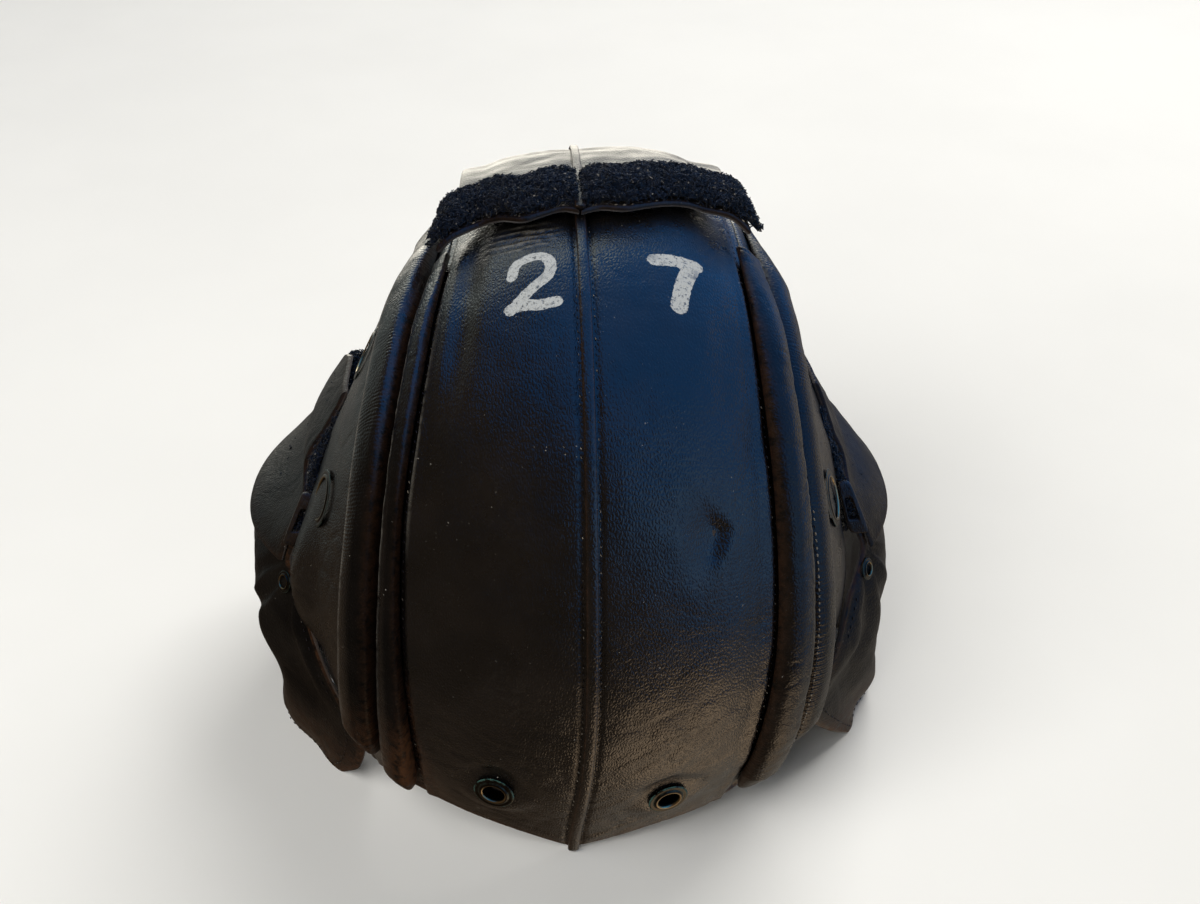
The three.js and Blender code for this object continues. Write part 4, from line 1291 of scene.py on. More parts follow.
def fur_pad(side):
    """The plush strip's backing, thick in the middle, from which the pile grows."""
    near, far = WELT_WIDTH / 2 + GAP, BROW_HALF_WIDTH[side] + PLUSH["overhang"]
    width = 21
    u, v = spaced(far - near, 1.6)[None, :], spaced(width, 1.3)[:, None]
    along = BROW_OVER * mix(PLUSH["from"], PLUSH["to"], v) / BROW_LENGTHS[0]
    across = mix(near, far, u)
    # It thins out towards its edges, least at the seam in the middle of the flap.
    full = np.minimum(1, np.minimum(4 * v, 4 * (1 - v)))
    full = np.minimum(full, np.minimum(0.5 + 6 * u, 6 * (1 - u)))
    low = FLAP_LEATHER + 2 * GAP
    spot = on_brow(side, along, across, low)
    lump = 0.5 * noise(spot, 7, 131)
    height = (PLUSH["height"] - PLUSH["pile"]) * np.sqrt(np.maximum(full, 0.05)) + lump
    outer = on_brow(side, along, across, low + np.maximum(height, 0.3))
    return outer, on_brow(side, along, across, low)


# Ear flaps and cheek flaps


def flap_row(rows, z):
    """A flap's measures at a height."""
    return {column: read(rows, "z", column, z) for column in rows}


def flap_x(row, y):
    """Distance out to a flap's outer face: widest at mid, and falling away to its rear and front edges."""
    back = y < row["mid"]
    to_rear = np.clip((row["mid"] - y) / (row["mid"] - row["rear"]), 0, None)
    to_front = np.clip((y - row["mid"]) / (row["front"] - row["mid"]), 0, None)
    drop_back = (row["mid_x"] - row["rear_x"]) * to_rear ** row["bend"]
    drop_front = (row["mid_x"] - row["front_x"]) * to_front**FRONT_BEND
    return row["mid_x"] - np.where(back, drop_back, drop_front)


def on_flap(rows, side, along, z, inset, gap):
    """A point of a flap, set in from its outer face but never inside the side panel."""
    along, z, inset = np.broadcast_arrays(*(np.asarray(a, float) for a in (along, z, inset)))
    row = flap_row(rows[side], z)
    y = mix(row["rear"], row["front"], along)
    fold = row.get("fold", 0) * (0.5 - 0.5 * np.cos(2 * np.pi * CHEEK_FOLDS * along))
    seated = wall_x(side, EAR[1] + y, z) + gap + FLAP_LEATHER
    out = np.maximum(flap_x(row, y) - fold, seated) - inset
    return np.stack([EAR[0] + side * out, EAR[1] + y, z], axis=-1)


def on_ear_flap(side, along, z, inset):
    return on_flap(EAR_FLAPS, side, along, z, inset, GAP)


def on_cheek(side, along, z, inset):
    """A point of a cheek flap, whose folds deepen towards the floor."""
    return on_flap(CHEEK_FLAPS, side, along, z, inset, 2 * GAP)


def moved_out(points, side, distance):
    """Points moved straight out from the helmet's middle."""
    moved = points.copy()
    moved[..., 0] += side * distance
    return moved


def level_span(rows):
    return rows["z"][0], rows["z"][-1]


def make_ear_flap(side):
    low, high = level_span(EAR_FLAPS[side])
    u, v = spaced(95, 1.4)[None, :], spaced(high - low + 8, 1.3)[:, None]
    z = mix(low, high, v)
    # Above the tab the leather stops short of its plush lining, which shows as a strip.
    u = mix(0.09 * ease((z - TAB["high"] + 3) / 6), 1, u)
    edge = np.minimum(np.minimum(u - u[:, :1], 1 - u) * 80, np.minimum(v, 1 - v) * (high - low))
    sink = rounding(edge, FLAP_EDGE)
    points = on_ear_flap(side, u, z, 0)
    height = 0.5 * rough(points, 16, 141) - 0.3 * creases(points, (7, 7, 14), 143, 4)
    held = np.clip(edge / 2.5, 0, 1)
    outer = moved_out(points, side, np.maximum(height, -0.2) * held - sink)
    inner = moved_out(points, side, sink - FLAP_LEATHER)
    worn = 0.12 * np.exp(-((edge / 1.2) ** 2))
    laid = skin(points[..., 1], z + 0 * u)
    attributes = [("wear", worn), ("grime", 0.6 + 0 * worn), ("skin", laid)]
    piece = wall(f"{SIDES[side]}_ear_leather", outer, inner, attributes)
    finish_piece(piece, "flap_leather", "flap", "lining", replaces=[f"ear_flap_{SIDES[side]}"])


def make_cheek_flap(side):
    low, high = level_span(CHEEK_FLAPS[side])
    u, v = spaced(125, 1.05)[None, :], spaced(high - low, 1.0)[:, None]
    z = mix(low, high, v)
    edge = np.minimum(np.minimum(u, 1 - u) * 110, np.minimum(v, 1 - v) * (high - low))
    sink = rounding(edge, FLAP_EDGE)
    points = on_cheek(side, u, z, 0)
    # Folds fan out from the pinch over the rear of the flap.
    y = points[..., 1] - EAR[1]
    pinch_y, pinch_z = CHEEK_PINCH
    angle = np.arctan2(y - pinch_y, pinch_z - z)
    far = np.hypot(y - pinch_y, z - pinch_z)
    fan = np.cos(13 * angle + 1.3 * noise(points, 15, 151)) * ease((far - 3) / 10) * ease((72 - far) / 40)
    height = 1.3 * fan * ease((-22 - y) / 14) + 0.45 * rough(points, 15, 153)
    height -= 0.35 * creases(points, (9, 9, 16), 155, 4)
    held = np.clip(edge / 2.5, 0, 1)
    outer = moved_out(points, side, np.maximum(height, -1.3) * held - sink)
    inner = moved_out(points, side, np.clip(height, -1.3, 0.9) * held * 0.6 - FLAP_LEATHER + sink)
    keep_outside(inner, side)
    dirty, bare = (0.85, 0.3) if side == LEFT else (0.5, 0.6)
    grime = dirty * ease((z - 12) / 20) + 0 * edge
    # Brown wear rises towards the hem. On the right flap the extra brown there is a painted reflection of
    # warm ground.
    worn = 0.4 * np.exp(-((edge / 1.3) ** 2)) + bare * ease((28 - z) / 24)
    laid = skin(points[..., 1], z + 0 * u)
    attributes = [("wear", np.clip(worn, 0, 1)), ("grime", grime), ("skin", laid)]
    piece = wall(f"{SIDES[side]}_cheek_leather", outer, inner, attributes)
    finish_piece(piece, "flap_leather", "flap", "lining", replaces=[f"cheek_flap_{SIDES[side]}"])


def make_ear_tab(side):
    """The slotted tab at the rear of the ear flap, with a rounded outline and a square slot."""
    v = np.linspace(0, 1, 9)
    z = mix(TAB["low"], TAB["high"], v)
    edge = on_ear_flap(side, 0.0, z, 0)
    outer_x = side * (edge[:, 0] - EAR[0]) + TAB["overhang"]
    limit = wall_x(side, edge[:, 1] - 2 * GAP - TAB["thickness"], z) + GAP
    inner_x = np.maximum(outer_x - TAB["width"], limit)
    corners = [(0.12, 0), (0, 0.07), (0, 0.93), (0.12, 1), (0.88, 1), (1, 0.93), (1, 0.07), (0.88, 0)]
    slot_w = TAB["slot"][0] / TAB["width"] / 2
    slot_h = TAB["slot"][1] / (TAB["high"] - TAB["low"]) / 2
    ups = (-1, -0.8, 0.8, 1)
    around = [(-1, up) for up in ups] + [(1, up) for up in reversed(ups)]
    hole = [(0.5 + across * slot_w, 0.5 + up * slot_h) for across, up in around]
    rings = []
    for inset, behind in ((0.06, 0.0), (0.0, 0.35), (0.0, 1.65), (0.06, 2.0)):
        loop = []
        for grow, outline in ((-inset, corners), (inset, hole)):
            for across, up in outline:
                cx = 0.5 + (across - 0.5) * (1 + grow)
                cy = 0.5 + (up - 0.5) * (1 + grow)
                x = mix(np.interp(cy, v, outer_x), np.interp(cy, v, inner_x), cx)
                y = np.interp(cy, v, edge[:, 1]) - 2 * GAP - behind
                loop.append((EAR[0] + side * x, y, np.interp(cy, v, z)))
        rings.append(loop)
    count = len(corners)
    points = np.array(rings).reshape(-1, 3)
    faces = []
    for k in range(count):
        n = (k + 1) % count
        for r in range(3):
            a, b = r * 2 * count, (r + 1) * 2 * count
            faces.append((a + k, a + n, b + n, b + k))
            faces.append((a + count + n, a + count + k, b + count + k, b + count + n))
        last = 3 * 2 * count
        faces.append((k, k + count, n + count, n))
        faces.append((last + k, last + n, last + n + count, last + k + count))
    faces = np.array(faces)
    if enclosed(points, faces) < 0:
        faces = faces[:, ::-1]
    worn = np.full(len(points), 0.1)
    attributes = [("wear", worn), ("scuff_and_highlight", 5 * worn), ("skin", skin(points[:, 0], points[:, 2]))]
    piece = make_mesh(f"{SIDES[side]}_slotted_tab", points, faces, attributes)
    smooth = piece.modifiers.new("Softened", "SUBSURF")
    smooth.levels = smooth.render_levels = 2
    finish_piece(piece, "flap_leather", "flap", replaces=[f"ear_tab_{SIDES[side]}"])


# Eyelets


def softened(profile, passes=2):
    """A closed profile with its corners cut to rounds."""
    corners = np.asarray(profile, float)
    for _ in range(passes):
        following = np.roll(corners, -1, axis=0)
        cut = [mix(corners, following, share) for share in (0.25, 0.75)]
        corners = np.stack(cut, axis=1).reshape(-1, 2)
    return corners


# How much verdigris the nape rings carry, and the other rings.
NAPE_GREEN, OTHER_GREEN = 1.0, 0.45


def set_eyelet(name, ring, profile, place, out, replaces, sides=64, green=OTHER_GREEN):
    """A brass ring. Verdigris gathers at its outer edge, and the rim of the hole is rubbed bright."""
    profile = softened(profile)
    share = (profile[:, 0] - ring["hole"]) / (ring["flange"] - ring["hole"])
    hollow = green * np.clip(bump(share, 1.02, 0.15) + 0.25 * bump(share, 0.5, 0.1), 0, 1)
    sunk = profile[:, 1].max() - profile[:, 1]
    tarnish = np.maximum(ease((share - 0.15) / 0.10), ease((sunk - 0.5) / 0.4))
    piece = lathe(name, profile, place, out, sides)
    store(piece.data, "hollow", np.tile(hollow, sides))
    store(piece.data, "tarnish", np.tile(tarnish, sides))
    finish_piece(piece, "aged_brass", "brass", replaces=[replaces])


def make_nape_eyelet(side):
    place, _, out = nape_eyelet_spot(side)
    flange, barrel, hole, lip, seat = (NAPE_RING[k] for k in ("flange", "barrel", "hole", "lip", "seat"))
    grip = 1.2
    low = -LEATHER - seat
    bottom = low - 0.5 * lip
    profile = [(hole, bottom), (barrel + grip, bottom), (barrel + grip, low), (barrel, low), (barrel, seat)]
    profile += [(flange, seat), (flange, seat + 0.25 * lip)]
    for share, up in ((0.8, 0.5), (0.5, 0.3), (0.36, 0.9), (0.12, 0.95), (0, 0.4)):
        profile.append((mix(hole, flange, share), seat + up * lip))
    replaced = f"nape_eyelet_{SIDES[side]}"
    set_eyelet(f"{SIDES[side]}_nape_ring", NAPE_RING, profile, place, out, replaced, green=NAPE_GREEN)
    # A patch of lining closes the hole from inside.
    behind = bottom - GAP
    rings = [(4.9, 0), (5.9, -0.1), (6.2, -0.5), (5.9, -0.9), (4.9, -1)]
    rings = [place + radius * spokes(out, 40) + (behind + down) * out for radius, down in rings]
    patch = tube(f"{SIDES[side]}_nape_lining_patch", np.array(rings))
    finish_piece(patch, "crown_leather", "lining")


# Section of a ring that lies on the leather: shares from the hole to the flange's edge, and of the lip.
BLIND_RING = ((0, 0), (1, 0), (1, 0.2), (0.75, 0.4), (0.45, 0.22), (0.30, 0.7), (0.08, 0.7), (0, 0.3))


def blind_profile(ring):
    return [(mix(ring["hole"], ring["flange"], share), up * ring["lip"]) for share, up in BLIND_RING]


def make_side_eyelet(side, name, turn, radius):
    turn = np.full(1, float(turn))
    across = across_at(turn, radius)
    out = outward(side, turn, across)[0]
    place = on_shell(side, turn, across)[0] + GAP * out
    replaced = f"side_eyelet_{name}_{SIDES[side]}"
    profile = blind_profile(SIDE_RING)
    set_eyelet(f"{SIDES[side]}_{name}_vent_ring", SIDE_RING, profile, place, out, replaced)


def make_cheek_eyelet(side):
    level = CHEEK_EYELET["level"]
    row = flap_row(CHEEK_FLAPS[side], level)
    along = CHEEK_EYELET["ahead"] / (row["front"] - row["rear"])
    place = on_cheek(side, along, level, 0)
    forward = on_cheek(side, along + 0.02, level, 0) - place
    up = on_cheek(side, along, level + 1, 0) - place
    out = unit(side * np.cross(forward, up))
    place = place + (0.2 + GAP) * out
    profile, replaced = blind_profile(CHEEK_RING), f"cheek_eyelet_{SIDES[side]}"
    set_eyelet(f"{SIDES[side]}_cheek_ring", CHEEK_RING, profile, place, out, replaced, sides=40)


def make_eyelets(side):
    make_nape_eyelet(side)
    make_cheek_eyelet(side)
    for name, turns, radius in SIDE_EYELETS:
        make_side_eyelet(side, name, turns[side], radius)


# Geometry Nodes: rows of stitches and plush pile


def new_tree(name, *numbers):
    """A Geometry Nodes tree that makes a geometry from one, with named numbers, a seed and a material."""
    tree = bpy.data.node_groups.new(name, "GeometryNodeTree")
    kinds = {"Geometry": "Geometry", **dict.fromkeys(numbers, "Float"), "Seed": "Int"}
    for label, kind in {**kinds, "Material": "Material"}.items():
        tree.interface.new_socket(label, in_out="INPUT", socket_type="NodeSocket" + kind)
    tree.interface.new_socket("Geometry", in_out="OUTPUT", socket_type="NodeSocketGeometry")
    given = tree.nodes.new("NodeGroupInput").outputs
    return tree, given, tree.nodes.new("NodeGroupOutput").inputs[0]


def close_tree(tree, instances, material, out):
    """Realizes the instances, shades them smooth and gives them their material."""
    real = add_node(tree, "GeometryNodeRealizeInstances", inputs={"Geometry": instances})
    smooth = add_node(tree, "GeometryNodeSetShadeSmooth", inputs={"Geometry": real.outputs[0]})
    inputs = {"Geometry": smooth.outputs[0], "Material": material}
    done = add_node(tree, "GeometryNodeSetMaterial", inputs=inputs)
    tree.links.new(done.outputs[0], out)


def grow(guide, tree, values):
    """Turns a guide object into what a tree makes from it."""
    modifier = guide.modifiers.new(tree.name, "NODES")
    modifier.node_group = tree
    for item in tree.interface.items_tree:
        if item.in_out == "INPUT" and item.name in values:
            modifier[item.identifier] = values[item.name]
    bake(guide, modifier)
    guide.data.materials.clear()


def random_between(tree, low, high, seed):
    """A random number, or a random vector, for each place."""
    kind = "FLOAT_VECTOR" if isinstance(low, tuple) else "FLOAT"
    inputs = {"Min": low, "Max": high, "Seed": seed}
    return add_node(tree, "FunctionNodeRandomValue", {"data_type": kind}, inputs).outputs["Value"]


def turned_to(tree, axis, toward, other_axis, other):
    """A rotation that turns one axis toward a direction and another as near as it can to a second one."""
    settings = {"primary_axis": axis, "secondary_axis": other_axis}
    inputs = {"Primary Axis": toward, "Secondary Axis": other}
    return add_node(tree, "FunctionNodeAxesToRotation", settings, inputs).outputs[0]


def on_points(tree, points, instance, rotation, scale):
    """Copies of an instance on points."""
    inputs = {"Points": points, "Instance": instance, "Rotation": rotation, "Scale": scale}
    return add_node(tree, "GeometryNodeInstanceOnPoints", inputs=inputs).outputs[0]


def named(tree, name, kind="FLOAT"):
    """A guide mesh's attribute of that name."""
    settings, inputs = {"data_type": kind}, {"Name": name}
    return add_node(tree, "GeometryNodeInputNamedAttribute", settings, inputs).outputs["Attribute"]


def place_at(tree, x=0.0, y=0.0, z=0.0):
    return add_node(tree, "ShaderNodeCombineXYZ", inputs={0: x, 1: y, 2: z}).outputs[0]


def stitch_tree():
    """Stitches along the edges of a guide mesh, each lying along its row and on the leather."""
    tree, given, out = new_tree("Row of stitches", "Pitch", "Length", "Thickness", "Slant")
    rows = add_node(tree, "GeometryNodeMeshToCurve", inputs={"Mesh": given["Geometry"]}).outputs[0]
    inputs = {"Curve": rows, "Length": given["Pitch"]}
    places = add_node(tree, "GeometryNodeResampleCurve", {"mode": "LENGTH"}, inputs).outputs[0]
    tangent = add_node(tree, "GeometryNodeInputTangent").outputs[0]
    facing = turned_to(tree, "X", tangent, "Z", named(tree, "up", "FLOAT_VECTOR"))
    lean = maths(tree, "ADD", random_between(tree, -0.22, 0.22, given["Seed"]), given["Slant"])
    turned = add_node(tree, "FunctionNodeEulerToRotation", inputs={0: place_at(tree, z=lean)}).outputs[0]
    facing = add_node(
        tree, "FunctionNodeRotateRotation", {"rotation_space": "LOCAL"}, {0: facing, 1: turned}
    ).outputs[0]
    ball = add_node(tree, "GeometryNodeMeshUVSphere", inputs={"Segments": 6, "Rings": 5, "Radius": 0.5})
    size = place_at(tree, given["Length"], given["Thickness"], given["Thickness"])
    inputs = {"Geometry": ball.outputs["Mesh"], "Scale": size}
    stitch = add_node(tree, "GeometryNodeTransform", inputs=inputs).outputs[0]
    growth = random_between(tree, (0.75, 0.8, 0.8), (1.1, 1.15, 1.1), given["Seed"])
    close_tree(tree, on_points(tree, places, stitch, facing, growth), given["Material"], out)
    return tree


def pile_tree():
    """Curled pile over a backing: tapered hairs that lean together in locks."""
    tree, given, out = new_tree("Plush pile", "Density", "Length", "Thickness", "Curl", "Lock size")
    density = times(tree, given["Density"], named(tree, "growth"))
    roots = add_node(
        tree,
        "GeometryNodeDistributePointsOnFaces",
        {"distribute_method": "RANDOM"},
        {"Mesh": given["Geometry"], "Density": density, "Seed": given["Seed"]},
    )
    place = add_node(tree, "GeometryNodeInputPosition").outputs[0]
    fine = maths(tree, "DIVIDE", 1.0, given["Lock size"])
    lock = add_node(tree, "ShaderNodeTexNoise", inputs={"Vector": place, "Scale": fine, "Detail": 1.0})
    lock = vector_maths(tree, "SUBTRACT", lock.outputs["Color"], (0.5, 0.5, 0.5))
    stray = random_between(tree, (-0.45, -0.45, -0.45), (0.45, 0.45, 0.45), given["Seed"])
    lean = vector_maths(tree, "MULTIPLY_ADD", lock, (4.2, 4.2, 4.2), stray)
    standing = vector_maths(tree, "ADD", roots.outputs["Normal"], lean)
    facing = turned_to(tree, "Z", standing, "X", lock)
    middle = place_at(tree, z=times(tree, given["Length"], 0.75))
    tip = place_at(tree, given["Curl"], z=times(tree, given["Length"], 0.72))
    inputs = {"Resolution": 2, "Start": (0, 0, 0), "Middle": middle, "End": tip}
    hair = add_node(tree, "GeometryNodeCurveQuadraticBezier", inputs=inputs).outputs[0]
    share = add_node(tree, "GeometryNodeSplineParameter").outputs["Factor"]
    hair = add_node(
        tree,
        "GeometryNodeStoreNamedAttribute",
        {"data_type": "FLOAT", "domain": "POINT"},
        {"Geometry": hair, "Name": "tip", "Value": share},
    ).outputs[0]
    inputs = {"Curve": hair, "Radius": ramp(tree, share, first=1.0, last=0.35)}
    hair = add_node(tree, "GeometryNodeSetCurveRadius", inputs=inputs).outputs[0]
    inputs = {"Resolution": 3, "Radius": times(tree, given["Thickness"], 0.5)}
    outline = add_node(tree, "GeometryNodeCurvePrimitiveCircle", inputs=inputs).outputs[0]
    inputs = {"Curve": hair, "Profile Curve": outline, "Fill Caps": True}
    hair = add_node(tree, "GeometryNodeCurveToMesh", inputs=inputs).outputs[0]
    growth = random_between(tree, 0.65, 1.2, given["Seed"])
    pile = on_points(tree, roots.outputs["Points"], hair, facing, growth)
    both = add_node(tree, "GeometryNodeJoinGeometry", inputs={0: pile})
    tree.links.new(given["Geometry"], both.inputs[0])
    close_tree(tree, both.outputs[0], given["Material"], out)
    return tree


TREES = {}


def tree_of(name, build):
    if name not in TREES:
        TREES[name] = build()
    return TREES[name]


def plush_piece(name, outer, inner, replaces, density, seed, growth=1.0, under=0.0):
    """A backing with pile grown on it, joined as one piece. Growth thins the pile where it is hidden, and
    under is the share of it on the face below."""
    sizes = bpy.context.scene.helmet_sizes
    shape = outer.shape[:2]
    backing = wall(name, outer, inner, [("tip", np.zeros(shape))])
    grown_share = flat(growth + np.zeros(shape))
    store(backing.data, "growth", np.concatenate([grown_share, under * grown_share]))
    values = {
        "Density": density / MM**2,
        "Length": sizes.pile_length,
        "Thickness": sizes.pile_thickness,
        "Curl": sizes.pile_curl,
        "Lock size": sizes.pile_lock,
        "Seed": seed,
        "Material": finish_of("plush"),
    }
    grow(backing, tree_of("pile", pile_tree), values)
    finish_piece(backing, "plush", "plush", replaces=[replaces])


def make_brow_plush(side):
    outer, inner = fur_pad(side)
    name = SIDES[side]
    plush_piece(f"{name}_brow_plush", outer, inner, f"brow_fur_{name}", PILE["brow"], 40 + side)


def make_ear_plush(side):
    """The lining of the ear flap, whose pile shows past the flap's rear and upper edges."""
    low, high = EAR_FUR["low"], EAR_FUR["high"]
    wide, tall = 90, 34
    u, v = spaced(wide, 2.0)[None, :], spaced(tall, 1.8)[:, None]
    z = mix(low, high, v)
    face = FLAP_LEATHER + GAP
    outer = on_ear_flap(side, u, z, face)
    inner = on_ear_flap(side, u, z, face + EAR_FUR["thickness"] - 1.2)
    keep_outside(inner, side)
    rim = np.minimum(wide * u, tall * (1 - v) + 0 * u)
    growth = 0.22 + 0.78 * ease((11 - rim) / 4)
    name, replaced = f"{SIDES[side]}_ear_plush", f"ear_fur_{SIDES[side]}"
    plush_piece(name, outer, inner, replaced, PILE["ear"], 60 + side, growth, under=1.0)


def row_guide(name, rows):
    """A guide mesh of edges along rows of points, each row with its directions out of the leather."""
    points = np.concatenate([row for row, _ in rows])
    ups = np.concatenate([up for _, up in rows])
    edges, start = [], 0
    for row, _ in rows:
        edges += [(start + k, start + k + 1) for k in range(len(row) - 1)]
        start += len(row)
    mesh = bpy.data.meshes.new(name)
    mesh.from_pydata((points * MM).tolist(), edges, [])
    store(mesh, "up", ups)
    return link(name, mesh)


# Stitches beside each seam. Slant is in radians. Stain is 0 for clean thread, and at 0.2 few pale stitches
# are left.
STITCH_COLUMNS = "pitch length thickness slant seed stain_left stain_right"
STITCHES = {
    "welt": (2.4, 0.9, 0.32, 0.3, 3, 0.14, 0.14),
    "panel": (2.8, 1.1, 0.34, 0.6, 5, 0.2, 0.17),
    "roll": (2.1, 1.3, 0.5, 0.35, 7, 0.02, 0.02),
    "brow": (2.6, 1.2, 0.36, 0.2, 13, 0.14, 0.14),
    "cheek": (3.0, 1.6, 0.4, 0.0, 17, 0.22, 0.22),
}


def sew(side, which, rows):
    """Rows of stitches as one piece."""
    stitch = dict(zip(STITCH_COLUMNS.split(), STITCHES[which]))
    values = {
        "Pitch": stitch["pitch"] * MM,
        "Length": stitch["length"] * MM,
        "Thickness": stitch["thickness"] * MM,
        "Slant": stitch["slant"],
        "Seed": stitch["seed"],
        "Material": finish_of("thread"),
    }
    piece = row_guide(f"{SIDES[side]}_{which}_stitches", rows)
    grow(piece, tree_of("stitches", stitch_tree), values)
    store(piece.data, "stain", np.full(len(piece.data.vertices), stitch[f"stain_{SIDES[side]}"]))
    finish_piece(piece, "thread", "thread")


def shell_row(side, across_at, lift, low_turn, high_turn, count=400):
    """A row of points along the crown, at a distance from the centre seam that may change with turn."""
    turn = np.linspace(low_turn, high_turn, count)
    across = across_at(turn) + 0 * turn
    return off_shell(side, turn, across, lift), outward(side, turn, across)


def foot_turn(side, across):
    """The turn at which a line at a distance from the centre seam comes down to the hem."""
    return hem_turn(side, lambda turn: np.array([float(across)]) + 0 * turn)[0]


def make_seam_stitches(side):
    """The row beside the centre welt, the one in the groove beside the rolls, and one on the rolls."""
    beside = WELT_WIDTH / 2 + 0.75
    low = foot_turn(side, 2) + 2
    rows = [shell_row(side, lambda t: beside, -0.45, low, 84)]
    sew(side, "welt", rows)
    panel = lambda t: seam_at(side, "panel", t) + 0.15
    rows = [shell_row(side, panel, -0.3, foot_turn(side, 50) + 4, 92)]
    sew(side, "panel", rows)
    # The last row lies in the groove between the left rolls, and on the outer one of the right rolls.
    if side == LEFT:
        rows = [shell_row(side, lambda t: seam_at(side, "inner", t), 1.2, foot_turn(side, 64) + 7, 40)]
    else:
        turn = np.linspace(foot_turn(side, 68) + 12, 38, 400)
        across, lift = roll_face(side, "outer", turn, ROLL_STITCHED)
        rows = [shell_row(side, lambda t: across, lift + 0.15, turn[0], turn[-1])]
    sew(side, "roll", rows)


def make_brow_stitches(side):
    """The row along the brow flap's free edge, under the plush."""
    across = np.linspace(3, BROW_HALF_WIDTH[side] - 1, 200)
    from_edge = 1.1
    along = BROW_OVER * from_edge / BROW_LENGTHS[0]
    points = on_brow(side, along, across, FLAP_LEATHER + 0.1)
    lifted = on_brow(side, along, across, FLAP_LEATHER + 1.1)
    sew(side, "brow", [(points, unit(lifted - points))])


def make_cheek_stitches(side):
    """The row just above the hem of a cheek flap and up along its rear edge."""
    rear, front, hem, top = 0.03, 0.98, 3.2, 70
    along = np.concatenate([np.linspace(front, rear, 200), np.full(120, rear)])
    z = np.concatenate([np.full(200, hem), np.linspace(hem, top, 120)])
    points = on_cheek(side, along, z, -GAP)
    lifted = on_cheek(side, along, z, -GAP - 1)
    sew(side, "cheek", [(points, unit(lifted - points))])


# Stage

LENS, SENSOR = 45.0, 36.0
IMAGE = (1200, 904)
LOOK_AT = (4.0, 16.0, 95.0)
LOOK_AT_PIXEL = (578, 439)
AZIMUTH, ELEVATION, DISTANCE = -2.0, 35.0, 500.0


def aim(thing, place, target):
    """Puts a light or camera at a place and turns it to a target, both in millimetres."""
    thing.location = Vector(place) * MM
    thing.rotation_euler = (Vector(target) - Vector(place)).to_track_quat("-Z", "Y").to_euler()


# What the polished leather mirrors. A patch of the backdrop lies in a direction from the helmet, with
# azimuth 0 behind the camera and 90 to the right. It is whole inside its inner angle and gone past its
# outer one. A patch with a screen ends at the tall dark screen that stands behind the camera.
PATCH_COLUMNS = "azimuth elevation inner outer colour strength screen"
PATCHES = {
    "sky_right": (88, 22, 52, 72, "#46a2ff", 1.4, True),
    "sky_overhead": (120, 65, 35, 65, "#46a0ff", 1.4, False),
    "haze_behind": (50, 12, 4, 28, "#a0cfff", 1.4, True),
    "below_right": (100, -45, 20, 62, "#fff4e2", 0.32, True),
    "grey_wall_right": (115, -10, 12, 34, "#fff0dd", 0.5, False),
    "pale_wall_ahead": (-137, 2, 10, 32, "#f0fffb", 0.38, False),
    "ground_ahead": (180, -30, 12, 40, "#fff6ea", 0.28, False),
    "silver_ahead": (-165, 24, 12, 28, "#f3fffa", 2.0, False),
    "low_sun_ahead": (-178, 0, 11, 26, "#fff9ea", 5.0, False),
    "lit_ground": (42, -55, 8, 24, "#ffdcb4", 2.1, True),
}
SCREEN_EDGE = 17


def direction(azimuth, elevation):
    turn, rise = math.radians(azimuth), math.radians(elevation)
    return Vector((math.sin(turn) * math.cos(rise), -math.cos(turn) * math.cos(rise), math.sin(rise)))


def facing(tree, place, toward, low, high):
    """Share of a direction that turns toward another one, from cosines low to high."""
    return ramp(tree, vector_maths(tree, "DOT_PRODUCT", place, toward), low, high, soft=True)


def make_backdrop():
    """The studio that only polished surfaces mirror: soft patches on a dim warm ground."""
    world = bpy.data.worlds.new("Soft studio")
    bpy.context.scene.world = world
    world.use_nodes = True
    tree = world.node_tree
    place = add_node(tree, "ShaderNodeTexCoord").outputs["Generated"]
    screen = facing(tree, place, direction(SCREEN_EDGE + 90, 0), 0.0, 0.09)
    seen = tuple(0.13 * c for c in linear("#ffdab5"))
    for row in PATCHES.values():
        patch = dict(zip(PATCH_COLUMNS.split(), row))
        middle = direction(patch["azimuth"], patch["elevation"])
        rim, core = (math.cos(math.radians(patch[name])) for name in ("outer", "inner"))
        share = facing(tree, place, middle, rim, core)
        if patch["screen"]:
            share = times(tree, share, screen)
        bright = tuple(patch["strength"] * c for c in linear(patch["colour"]))
        seen = over(tree, share, seen, bright)
    tree.links.new(seen, tree.nodes["Background"].inputs["Color"])
    world.cycles_visibility.diffuse = False
    world.cycles.sampling_method = "NONE"


def soft_light(name, place, size, watts, colour):
    """A large square light for the paper and matt surfaces. Polished ones mirror the backdrop instead."""
    light = bpy.data.lights.new(name, "AREA")
    light.size = size * MM
    light.energy, light.color = watts, linear(colour)
    lamp = link(name, light)
    lamp.visible_glossy = False
    aim(lamp, place, LOOK_AT)


def make_floor():
    """A sheet of seamless paper that curves up far from the helmet on every side."""
    reach, radius, sides = 1500.0, 900.0, 64
    bend = np.radians(np.linspace(0, 90, 13))
    out = np.concatenate([[0.01, 400, 900], reach + radius * np.sin(bend)])
    up = np.concatenate([[0, 0, 0], radius * (1 - np.cos(bend))])
    around = np.linspace(0, 2 * np.pi, sides, endpoint=False)
    circle = np.stack([np.cos(around), np.sin(around), 0 * around], axis=-1)
    points = out[:, None, None] * circle + up[:, None, None] * np.array([0.0, 0.0, 1.0])
    index = np.arange(len(out) * sides).reshape(-1, sides)
    beside = np.roll(index, -1, axis=1)
    faces = np.stack([index[:-1], index[1:], beside[1:], beside[:-1]], axis=-1).reshape(-1, 4)
    floor = make_mesh("paper_floor", points, faces)
    floor.visible_glossy = False
    floor.data.materials.append(finish_of("floor"))


